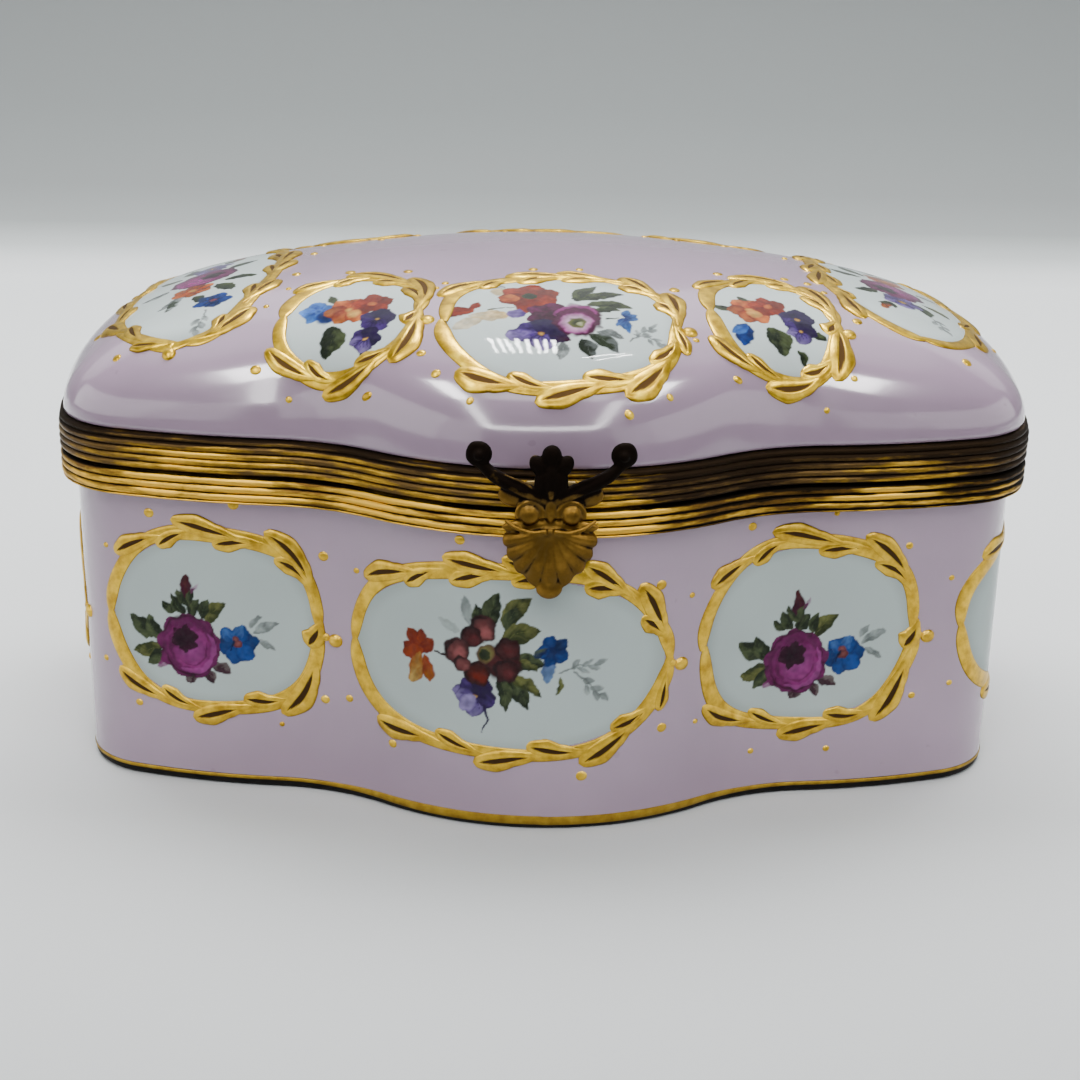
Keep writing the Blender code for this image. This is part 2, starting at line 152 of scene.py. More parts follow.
def dome_point(s, angle, offset=None, rise=None, inset=0.0):
    """A point of the lid: angle is 0 at the crown and 90 degrees at the shoulder."""
    offset = LID_PROUD if offset is None else offset
    rise = LID_RISE if rise is None else rise
    x, y, _, _ = plan(s, offset)
    reach = np.sin(angle) ** (2.0 / DOME_FULLNESS)
    weight = reach ** DOME_SOFTENING
    around = np.arctan2(y, x)
    oval_x = (DOME_HALF_AXES[0] - inset) * np.cos(around)
    oval_y = (DOME_HALF_AXES[1] - inset) * np.sin(around)
    px = reach * (weight * x + (1.0 - weight) * oval_x)
    py = reach * (weight * y + (1.0 - weight) * oval_y)
    level = np.maximum(np.cos(angle), 0.0) ** (2.0 / DOME_SQUARENESS)
    pz = LID_SHOULDER_Z + rise * level
    return np.stack([px, py, np.broadcast_to(pz, px.shape)], axis=-1)


def unit(v):
    return v / np.maximum(np.linalg.norm(v, axis=-1, keepdims=True), 1e-12)


class WallPatch:
    """Flat coordinates (a, b) on the body's wall, a to the right and b up, seen from outside."""

    def __init__(self, s, z):
        self.s = s
        self.z = z

    def place(self, a, b, lift):
        x, y, nx, ny = plan(self.s + a)
        return np.stack([x + nx * lift, y + ny * lift, self.z + b + 0.0 * x], axis=-1)


class DomePatch:
    """Flat coordinates (a, b) on the lid's dome about the place above (x, y), turned by degrees."""

    def __init__(self, x, y, degrees=0.0):
        s = np.linspace(0.0, PERIMETER, 720, endpoint=False)[None, :]
        angle = np.radians(np.linspace(4.0, 89.0, 170))[:, None]
        grid = dome_point(s + 0.0 * angle, angle + 0.0 * s)
        near = np.argmin((grid[..., 0] - x) ** 2 + (grid[..., 1] - y) ** 2)
        row, column = np.unravel_index(near, grid.shape[:2])
        self.s = s[0, column]
        self.angle = angle[row, 0]
        self.centre = dome_point(np.array([self.s]), np.array([self.angle]))[0]
        self.normal = self.normals(np.array([self.s]), np.array([self.angle]))[0]
        level = unit(np.cross([0.0, 0.0, 1.0], self.normal))
        upright = np.cross(self.normal, level)
        turn = math.radians(degrees)
        self.right = level * math.cos(turn) + upright * math.sin(turn)
        self.up = np.cross(self.normal, self.right)
        steps = np.linspace(-34.0, 34.0, 137)
        self.tables = []
        for a, b in ((steps, 0.0 * steps), (0.0 * steps, steps)):
            points = dome_point(*self.solve(a, b))
            chords = np.linalg.norm(np.diff(points, axis=0), axis=1)
            length = np.concatenate([[0.0], np.cumsum(chords)])
            length -= length[len(length) // 2]
            self.tables.append((length, steps))

    def normals(self, s, angle):
        ds, da = 0.02, 0.0004
        along = dome_point(s + ds, angle) - dome_point(s - ds, angle)
        down = dome_point(s, angle + da) - dome_point(s, angle - da)
        return unit(np.cross(down, along))

    def solve(self, a, b):
        """Find where on the dome the projected coordinates are (a, b), by Newton's method."""
        s = np.full(a.shape, self.s)
        angle = np.full(a.shape, self.angle)
        for step in range(14):
            share = min(1.0, (step + 1) / 6.0)
            here = dome_point(s, angle) - self.centre
            by_s = (dome_point(s + 0.01, angle) - self.centre - here) / 0.01
            by_angle = (dome_point(s, angle + 0.0002) - self.centre - here) / 0.0002
            f = here @ self.right - a * share
            g = here @ self.up - b * share
            fs, fa = by_s @ self.right, by_angle @ self.right
            gs, ga = by_s @ self.up, by_angle @ self.up
            det = fs * ga - fa * gs
            det = np.where(np.abs(det) < 1e-6, 1e-6, det)
            s = s - np.clip((f * ga - g * fa) / det, -6.0, 6.0)
            angle = np.clip(angle - np.clip((g * fs - f * gs) / det, -0.2, 0.2), 0.04, 1.566)
        return s, angle

    def place(self, a, b, lift):
        flat_a = np.interp(a, *self.tables[0])
        flat_b = np.interp(b, *self.tables[1])
        s, angle = self.solve(flat_a, flat_b)
        lift = np.asarray(lift, dtype=float)
        lift = lift[..., None] if lift.ndim else lift
        return dome_point(s, angle) + self.normals(s, angle) * lift


# ---------------------------------------------------------------- meshes
def new_object(name, data):
    made = bpy.data.objects.new(name, data)
    bpy.context.scene.collection.objects.link(made)
    return made


def add_piece(name, points, faces, materials, slots=None, values=None, colours=None):
    """A smooth mesh object from millimetre points; values and colours are point attributes."""
    mesh = bpy.data.meshes.new(name)
    faces = faces if isinstance(faces, list) else faces.tolist()
    mesh.from_pydata((np.asarray(points, dtype=float) * MM).tolist(), [], faces)
    for finish in materials:
        mesh.materials.append(finish)
    if slots is not None:
        mesh.polygons.foreach_set("material_index", slots.astype(np.int32))
    mesh.shade_smooth()
    for key, data in (values or {}).items():
        layer = mesh.attributes.new(key, "FLOAT", "POINT")
        layer.data.foreach_set("value", np.asarray(data, dtype=np.float32).ravel())
    if colours is not None:
        layer = mesh.attributes.new("paint", "FLOAT_COLOR", "POINT")
        rgba = np.concatenate([colours, np.ones((len(colours), 1))], axis=1)
        layer.data.foreach_set("color", rgba.astype(np.float32).ravel())
    mesh.update()
    return new_object(name, mesh)


def grid_faces(rows, columns, wrap_rows=False, wrap_columns=False):
    """Quads of a grid of points stored row by row."""
    r = np.arange(rows if wrap_rows else rows - 1)
    c = np.arange(columns if wrap_columns else columns - 1)
    r, c = [m.ravel() for m in np.meshgrid(r, c, indexing="ij")]
    r1, c1 = (r + 1) % rows, (c + 1) % columns
    return np.stack([r * columns + c, r * columns + c1, r1 * columns + c1, r1 * columns + c], axis=1)


def smooth_step(low, high, value):
    share = np.clip((value - low) / (high - low), 0.0, 1.0)
    return share * share * (3.0 - 2.0 * share)


def lattice_noise(a, b, size, seed):
    """Smooth noise from 0 to 1 over the plane, with features about as large as size."""
    table = np.random.default_rng(seed).random((64, 64))
    u, v = np.asarray(a) / size + 31.0, np.asarray(b) / size + 17.0
    iu, iv = np.floor(u).astype(int), np.floor(v).astype(int)
    fu, fv = u - iu, v - iv
    fu, fv = fu * fu * (3 - 2 * fu), fv * fv * (3 - 2 * fv)
    t = lambda i, j: table[i % 64, j % 64]
    low = t(iu, iv) * (1 - fu) + t(iu + 1, iv) * fu
    high = t(iu, iv + 1) * (1 - fu) + t(iu + 1, iv + 1) * fu
    return low * (1 - fv) + high * fv


# ---------------------------------------------------------------- materials
class Nodes:
    """A small builder for one material's node tree."""

    def __init__(self, name):
        self.material = bpy.data.materials.new(name)
        self.material.use_nodes = True
        self.tree = self.material.node_tree
        self.shader = self.tree.nodes["Principled BSDF"]

    def add(self, kind, **settings):
        node = self.tree.nodes.new(kind)
        for key, value in settings.items():
            if key in node.inputs:
                node.inputs[key].default_value = value
            else:
                setattr(node, key, value)
        return node

    def link(self, source, target):
        self.tree.links.new(source, target)

    def feed(self, socket, value):
        """Link an input to another node's output, or set its value."""
        if isinstance(value, bpy.types.NodeSocket):
            self.link(value, socket)
        else:
            socket.default_value = value

    def coordinates(self, scale=(1.0, 1.0, 1.0)):
        place = self.add("ShaderNodeTexCoord")
        mapping = self.add("ShaderNodeMapping", Scale=scale)
        self.link(place.outputs["Object"], mapping.inputs["Vector"])
        return mapping.outputs["Vector"]

    def noise(self, vector, scale, detail=4.0, roughness=0.55):
        node = self.add("ShaderNodeTexNoise", Scale=scale, Detail=detail, Roughness=roughness)
        self.link(vector, node.inputs["Vector"])
        return node.outputs["Fac"]

    def ramp(self, source, stops):
        node = self.add("ShaderNodeValToRGB")
        elements = node.color_ramp.elements
        while len(elements) < len(stops):
            elements.new(0.5)
        for element, (position, colour) in zip(elements, stops):
            element.position = position
            element.color = (*colour, 1.0)
        self.link(source, node.inputs["Fac"])
        return node.outputs["Color"]

    def mix(self, factor, first, second):
        node = self.add("ShaderNodeMix", data_type="RGBA")
        for socket, value in ((node.inputs[0], factor), (node.inputs[6], first), (node.inputs[7], second)):
            self.feed(socket, (*value, 1.0) if isinstance(value, tuple) else value)
        return node.outputs[2]

    def math(self, operation, first, second):
        node = self.add("ShaderNodeMath", operation=operation)
        for socket, value in zip(node.inputs, (first, second)):
            self.feed(socket, value)
        return node.outputs[0]

    def plus(self, first, second):
        return self.math("ADD", first, second)

    def minus(self, first, second):
        return self.math("SUBTRACT", first, second)

    def times(self, first, second):
        return self.math("MULTIPLY", first, second)

    def spread(self, source, low, high):
        node = self.add("ShaderNodeMapRange")
        node.inputs["To Min"].default_value = low
        node.inputs["To Max"].default_value = high
        self.link(source, node.inputs["Value"])
        return node.outputs["Result"]

    def attribute(self, name, output="Fac"):
        return self.add("ShaderNodeAttribute", attribute_name=name).outputs[output]

    def bump(self, height, distance, strength):
        node = self.add("ShaderNodeBump", Distance=distance, Strength=strength)
        self.link(height, node.inputs["Height"])
        self.link(node.outputs["Normal"], self.shader.inputs["Normal"])

    def set(self, **values):
        for key, value in values.items():
            self.feed(self.shader.inputs[key.replace("_", " ")], value)
        return self.material


BLACK, WHITE = (0.0, 0.0, 0.0), (1.0, 1.0, 1.0)
SPECK_COLOUR = (0.24, 0.15, 0.20)
GLAZE_PEEL = 0.00003            # metres


def glaze_material(name, deep, pale):
    """Coloured ground under a clear glaze: faint clouding, a fine orange-peel and a few specks."""
    n = Nodes(name)
    place = n.coordinates()
    cloud = n.noise(place, 45.0, 3.0)
    grain = n.noise(place, 900.0, 3.0)
    ground = n.ramp(cloud, ((0.30, deep), (0.72, pale)))
    ground = n.mix(n.spread(grain, 0.0, 0.10), ground, tuple(0.86 * c for c in pale))
    specks = n.ramp(n.noise(place, 420.0, 2.0, 0.3), ((0.77, BLACK), (0.80, WHITE)))
    ground = n.mix(n.times(specks, 0.22), ground, SPECK_COLOUR)
    n.bump(n.noise(place, 260.0, 2.0), GLAZE_PEEL, 0.5)
    return n.set(Base_Color=ground, Roughness=n.spread(cloud, 0.12, 0.20), Coat_Weight=0.6,
                 Coat_Roughness=0.09)


def white_material(name, tint):
    """Clear glaze over bare porcelain."""
    n = Nodes(name)
    place = n.coordinates()
    cloud = n.noise(place, 60.0, 3.0)
    ground = n.ramp(cloud, ((0.3, tuple(0.94 * c for c in tint)), (0.7, tint)))
    n.bump(n.noise(place, 240.0, 2.0), GLAZE_PEEL, 0.5)
    return n.set(Base_Color=ground, Roughness=n.spread(cloud, 0.08, 0.15), Coat_Weight=0.4,
                 Coat_Roughness=0.05)


def paint_material(name, shine, rough):
    """Enamel painting on white: the colour is on the points of each reserve."""
    n = Nodes(name)
    place = n.coordinates()
    grain = n.noise(place, 1500.0, 2.0)
    paint = n.mix(n.spread(grain, 0.0, 0.05), n.attribute("paint", "Color"), (0.45, 0.50, 0.50))
    n.bump(n.noise(place, 240.0, 2.0), GLAZE_PEEL, 0.5)
    return n.set(Base_Color=paint, Roughness=n.spread(grain, *rough), Specular_IOR_Level=shine)


def gilt_material(name, tones, line, metallic):
    """Burnished gold over raised paste, with brown drawing in the veins and painted shade along its edges.
    """
    n = Nodes(name)
    place = n.coordinates()
    wear = n.noise(place, 700.0, 4.0)
    # the vein attribute carries the brown veins and the painted shade along the edges of the gilding
    vein = n.attribute("vein")
    colour = n.mix(vein, n.ramp(wear, tuple(zip((0.30, 0.55, 0.80), tones))), line)
    n.bump(n.noise(place, 1600.0, 3.0), 0.00004, 0.6)
    rough = n.plus(n.spread(wear, 0.24, 0.40), n.times(vein, 0.3))
    return n.set(Base_Color=colour, Metallic=metallic, Roughness=rough, Specular_IOR_Level=0.3)


def brass_material(name, bright, brown, black, wear_level, scale=(1.0, 1.0, 1.0), rough=(0.30, 0.50)):
    """Old gilt brass: rubbed gold in streaks on the crests, brown patina round them, black dirt in
    the grooves; on the mouldings the groove attribute also carries painted shade."""
    n = Nodes(name)
    streak = n.noise(n.coordinates(scale), 150.0, 5.0, 0.62)
    patch = n.noise(n.coordinates(), 42.0, 3.0, 0.6)
    fine = n.noise(n.coordinates(), 900.0, 4.0, 0.6)
    groove = n.attribute("groove")
    worn = n.plus(n.times(streak, 0.62), n.times(patch, 0.38))
    worn = n.plus(worn, n.times(n.minus(fine, 0.5), 0.10))
    worn = n.minus(worn, n.times(groove, 0.16))
    low, high = wear_level
    rubbed = tuple(0.45 * c for c in bright)
    metal_colour = n.ramp(worn, ((low, brown), (0.5 * (low + high), rubbed), (high, bright)))
    soot = n.plus(n.times(fine, 0.30), n.times(n.minus(0.5, streak), 1.3))
    dirt = n.ramp(n.plus(groove, soot), ((0.66, BLACK), (0.92, WHITE)))
    n.bump(n.plus(n.times(fine, 0.4), streak), 0.00016, 0.6)
    roughness = n.plus(n.spread(streak, rough[1], rough[0]), n.times(dirt, 0.20))
    return n.set(Base_Color=n.mix(dirt, metal_colour, black), Metallic=1.0, Roughness=roughness)


def plain_noisy_material(name, dark, pale, scale, roughness, metallic=0.0, shine=0.5):
    n = Nodes(name)
    place = n.coordinates()
    cloud = n.noise(place, scale, 5.0)
    n.bump(n.noise(place, scale * 4.0, 4.0), 0.0001, 0.6)
    return n.set(Base_Color=n.ramp(cloud, ((0.3, dark), (0.7, pale))), Metallic=metallic,
                 Roughness=n.spread(cloud, *roughness), Specular_IOR_Level=shine)


MAUVE = glaze_material("mauve_glaze", (0.440, 0.315, 0.425), (0.500, 0.365, 0.485))
WHITE_GLAZE = white_material("white_glaze", (0.78, 0.80, 0.79))
BISQUE = plain_noisy_material("bare_foot", (0.55, 0.52, 0.47), (0.70, 0.68, 0.63), 300.0, (0.6, 0.8))
PAINT = paint_material("painted_enamel", 0.06, (0.07, 0.13))
LID_PAINT = paint_material("painted_enamel_lid", 0.12, (0.02, 0.04))
GILT_TONES = ((0.44, 0.250, 0.014), (0.72, 0.450, 0.032), (0.92, 0.620, 0.070))
# the lid's gilding is the same gold as the body's, given darker tones: painted shade
LID_GILT_SHADED_TONES = ((0.34, 0.195, 0.007), (0.60, 0.375, 0.018), (0.84, 0.590, 0.048))
GILT = gilt_material("raised_gilding", GILT_TONES, (0.040, 0.018, 0.003), 0.68)
LID_GILT_SHADED = gilt_material("raised_gilding_lid_shaded", LID_GILT_SHADED_TONES, (0.060, 0.028, 0.004), 0.75)
# painted shadow: the foot's fillet is near-black where the box meets the floor
FOOT_SHADOW = plain_noisy_material("painted_foot_shadow", (0.004, 0.0035, 0.003), (0.014, 0.012, 0.010), 500.0,
                                 (0.5, 0.7), shine=0.08)
LONG_WAYS = (0.75, 0.75, 6.0)
BODY_BRASS = brass_material("body_mount_brass", (0.62, 0.362, 0.038), (0.110, 0.056, 0.012),
                            (0.010, 0.007, 0.004), (0.37, 0.48), LONG_WAYS, (0.36, 0.56))
LID_BRASS = brass_material("lid_mount_brass", (0.50, 0.288, 0.030), (0.085, 0.050, 0.017),
                           (0.018, 0.011, 0.006), (0.40, 0.54), LONG_WAYS, (0.34, 0.52))
CLASP_BRASS = brass_material("clasp_brass", (0.230, 0.124, 0.022), (0.120, 0.072, 0.020),
                             (0.006, 0.004, 0.003), (0.40, 0.64), (1.0, 1.0, 1.0), (0.36, 0.52))
HINGE_BRASS = brass_material("hinge_brass", (0.46, 0.30, 0.08), (0.12, 0.075, 0.030),
                             (0.014, 0.010, 0.007), (0.36, 0.58))
SPRING_BRASS = plain_noisy_material("spring_brass", (0.46, 0.31, 0.11), (0.74, 0.55, 0.24), 500.0,
                                    (0.25, 0.4), 1.0)
CEMENT = plain_noisy_material("bedding_cement", (0.52, 0.48, 0.40), (0.74, 0.71, 0.64), 700.0, (0.8, 0.95))


# ---------------------------------------------------------------- porcelain
def fillet(centre_offset, centre_z, radius, start, end, steps=6):
    """Points (offset, z) round a corner of a section, angles in degrees."""
    angles = np.radians(np.linspace(start, end, steps))
    return [(centre_offset + radius * math.cos(a), centre_z + radius * math.sin(a)) for a in angles]


def section_rings(section):
    return np.stack([wall_point(STATIONS, offset, z) for offset, z in section])


def close_with_fan(points, faces, ring_start, centre):
    """Add a centre point and a fan over the ring that starts at ring_start."""
    index = len(points)
    points = np.concatenate([points, [centre]])
    ring = ring_start + np.arange(AROUND)
    following = ring_start + (np.arange(AROUND) + 1) % AROUND
    fan = [(int(a), int(b), index) for a, b in zip(ring, following)]
    return points, faces + fan


def body_porcelain():
    """The bowl, in one section from under the foot, up the wall and down its inside to the floor."""
    rim = BODY_HIGH[2]
    bare = [(-WALL - 1.0, 1.0), (-WALL - 0.3, 0.85), (-WALL, 0.4), (-WALL + 0.35, 0.05), (-WALL + 0.8, 0.0)]
    # the foot's fillet takes the near-black painted shadow
    foot = fillet(-0.9, 0.9, 0.9, -90.0, 0.0)
    wall = [(0.0, z) for z in np.linspace(1.6, rim - 0.9, 12)]
    top = fillet(-0.6, rim - 0.6, 0.6, 0.0, 90.0, 5) + fillet(-WALL + 0.6, rim - 0.6, 0.6, 90.0, 180.0, 5)
    inside = [(-WALL, z) for z in np.linspace(rim - 1.4, BODY_FLOOR + 2.8, 8)]
    inside += fillet(-WALL - 2.4, BODY_FLOOR + 2.4, 2.4, 0.0, -90.0, 8)
    section = bare + foot + wall + top + inside
    rows = (2,) * len(bare) + (3,) * len(foot) + (0,) * (len(wall) - 1) + (1,) * (len(top) + len(inside))
    points = section_rings(section).reshape(-1, 3)
    faces = grid_faces(len(section), AROUND, wrap_columns=True).tolist()
    points, faces = close_with_fan(points, faces, (len(section) - 1) * AROUND, (0.0, 0.0, BODY_FLOOR))
    points, faces = close_with_fan(points, faces, 0, (0.0, 0.0, 1.0))
    faces[-AROUND:] = [f[::-1] for f in faces[-AROUND:]]
    slots = np.repeat(rows + (1, 2), AROUND)
    piece = add_piece("body_porcelain_glazed", points, faces, [MAUVE, WHITE_GLAZE, BISQUE, FOOT_SHADOW], slots)
    finish_piece(piece, "body", "body_porcelain", "body_porcelain")


def lid_porcelain():
    """The dome, in one section from its crown down to the rim and up its inside."""
    rim = LID_LOW[2]
    crown_to_shoulder = np.radians(90.0) * np.linspace(0.03, 1.0, 64) ** 0.9
    outside = [dome_point(STATIONS, np.full_like(STATIONS, a)) for a in crown_to_shoulder]
    rebate = [(LID_PROUD - 0.25, LID_SHOULDER_Z - 0.16), (0.05, LID_SHOULDER_Z - 0.2)]
    rebate += [(0.0, z) for z in np.linspace(LID_SHOULDER_Z - 0.6, rim + 0.7, 3)]
    rebate += fillet(-0.6, rim + 0.6, 0.6, 0.0, -90.0, 4)
    rebate += fillet(-WALL + 0.6, rim + 0.6, 0.6, -90.0, -180.0, 4)
    inner_angles = np.radians(90.0) * np.linspace(1.0, 0.03, 40) ** 0.9
    inside = [dome_point(STATIONS, np.full_like(STATIONS, a), -WALL, LID_INSIDE_RISE, WALL)
              for a in inner_angles]
    rings = np.concatenate([np.stack(outside), section_rings(rebate), np.stack(inside)])
    mauve_rows = len(outside) + 2
    points = rings.reshape(-1, 3)
    faces = grid_faces(len(rings), AROUND, wrap_columns=True)[:, ::-1].tolist()
    ceiling = (0.0, 0.0, LID_SHOULDER_Z + LID_INSIDE_RISE)
    points, faces = close_with_fan(points, faces, (len(rings) - 1) * AROUND, ceiling)
    faces[-AROUND:] = [f[::-1] for f in faces[-AROUND:]]
    points, faces = close_with_fan(points, faces, 0, (0.0, 0.0, LID_SHOULDER_Z + LID_RISE))
    slots = np.repeat((0,) * mauve_rows + (1,) * (len(rings) - 1 - mauve_rows) + (1, 0), AROUND)
    piece = add_piece("lid_porcelain_glazed", points, faces, [MAUVE, WHITE_GLAZE], slots)
    finish_piece(piece, "lid", "lid_porcelain", "lid_porcelain")


def finish_piece(piece, body, slot, *replaced):
    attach(piece, body)
    if replaced:
        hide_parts(*replaced)


# ---------------------------------------------------------------- mounts
def reed_face(low_z, high_z, count, crest, depth, steps=9):
    """Rounded reeds between sharp grooves: (offset, z, groove) upwards."""
    pitch = (high_z - low_z) / count
    face = []
    for i in range(count):
        for step in range(steps):
            share = step / steps
            swell = math.sin(math.pi * share) ** 0.6
            face.append((crest - depth * (1.0 - swell), low_z + pitch * (i + share), 1.0 - swell))
    face.append((crest - depth, high_z, 1.0))
    return face


def mount_shade_and_tone(height, on_lid):
    """How much darker and browner the moulding is painted at a height. The right of the front is darker as
    painted shade; the corners, and on the lid's mount the middle and the top reed, are darker too."""
    way = np.where(STATIONS > 0.5 * PERIMETER, STATIONS - PERIMETER, STATIONS)
    far = np.abs(way)
    darkening = 0.40 * smooth_step(2.0, 16.0, way) * smooth_step(120.0, 90.0, way) \
        + 0.22 * smooth_step(44.0, 58.0, far) * smooth_step(100.0, 80.0, far) \
        + 0.12 * (lattice_noise(STATIONS, height + 0.0 * way, 6.0, 23) - 0.5)
    if on_lid:
        darkening = darkening + 0.34 * smooth_step(1.8, 3.9, height) + 0.05 + 0.16 * smooth_step(34.0, 22.0, far)
    return darkening


def mount(name, node, body, joint_z, far_z, lip_z, reed_count, finish):
    """A reeded channel moulding with a plain rolled lip along its far edge. Its section is a list of
    (offset, height from the joint, groove)."""
    on_lid = far_z > joint_z
    up = 1.0 if on_lid else -1.0
    tall, hook = abs(far_z - joint_z), abs(lip_z - joint_z)
    lip = 0.75 if on_lid else 0.35
    inner_low = -WALL - 0.9
    outer = reed_face(0.0, tall - lip, reed_count, MOUNT_PROUD, REED_DEPTH)
    for t in (0.15, 0.35, 0.5, 0.65, 0.85):
        swell = math.sin(math.pi * t)
        outer.append((MOUNT_PROUD - 0.22 * (1 - swell) - 0.15, tall - lip * (1 - t), 0.9 - 0.8 * swell))
    outer.append((MOUNT_PROUD - 0.6, tall, 0.8))
    channel = [(0.3, tall, 1.0), (0.3, 0.65, 1.0), (-WALL - 0.3, 0.65, 0.6), (-WALL - 0.3, hook, 0.3),
               (-WALL - 0.6, hook, 0.2), (inner_low, hook - 0.2, 0.2), (inner_low, 0.15, 0.3),
               (inner_low + 0.15, 0.0, 0.3), (-1.0, 0.0, 0.4), (MOUNT_PROUD - 0.7, 0.0, 0.6)]
    section = outer + channel
    from_seam = smooth_step(0.0, 6.0, np.minimum(STATIONS, PERIMETER - STATIONS))
    rings = []
    values = []
    for row, (offset, height, groove) in enumerate(section):
        dent = DENT * (lattice_noise(STATIONS, height * 2.0 + 9.0 * up, 1.7, 11) - 0.5)
        dent = dent * (row < len(outer) - 1) * (groove < 0.75)
        rings.append(wall_point(STATIONS, offset + dent * from_seam, joint_z + up * height))
        groove = groove * (0.62 if on_lid and 0.5 < height < 3.2 else 0.9)
        # the moulding's painted shade and tone are added to the groove attribute on the crests
        shade = mount_shade_and_tone(height, on_lid) * (1.0 if groove < 0.65 else 0.0)
        values.append(np.clip(groove + shade, 0.0, 1.0))
    faces = grid_faces(len(section), AROUND, wrap_rows=True, wrap_columns=True)
    faces = faces if on_lid else faces[:, ::-1]
    grooves = {"groove": np.concatenate(values)}
    piece = add_piece(name, np.concatenate(rings), faces, [finish], values=grooves)
    piece.data.set_sharp_from_angle(angle=math.radians(60.0))
    finish_piece(piece, body, node, node)


# ---------------------------------------------------------------- painting on the reserves
def shades(*colours):
    return tuple(np.array(colour) for colour in colours)


RESERVE_WHITE = np.array((0.560, 0.650, 0.632))
# for each body's reserves: the material, how much deeper the colours are than painted, and a tint
PAINT_LOOK = {"body": (PAINT, 1.06, np.ones(3)), "lid": (LID_PAINT, 1.22, np.array((1.08, 1.05, 1.06)))}
GREENS = shades((0.016, 0.024, 0.010), (0.075, 0.098, 0.040))
OLIVES = shades((0.035, 0.045, 0.012), (0.150, 0.160, 0.045))
GREYS = shades((0.130, 0.150, 0.145), (0.300, 0.345, 0.335))
DUSK = shades((0.050, 0.016, 0.028), (0.170, 0.140, 0.135))
MAGENTA = shades((0.042, 0.002, 0.022), (0.125, 0.009, 0.080), (0.290, 0.050, 0.225))
BLUE = shades((0.003, 0.016, 0.090), (0.010, 0.055, 0.235), (0.075, 0.190, 0.430))
VIOLET = shades((0.022, 0.007, 0.055), (0.075, 0.038, 0.185), (0.220, 0.180, 0.360))
ORANGE = shades((0.130, 0.011, 0.003), (0.270, 0.040, 0.006), (0.440, 0.165, 0.040))
WINE = shades((0.020, 0.004, 0.006), (0.085, 0.014, 0.016), (0.240, 0.070, 0.070))
YELLOW = shades((0.320, 0.110, 0.008), (0.480, 0.330, 0.090))


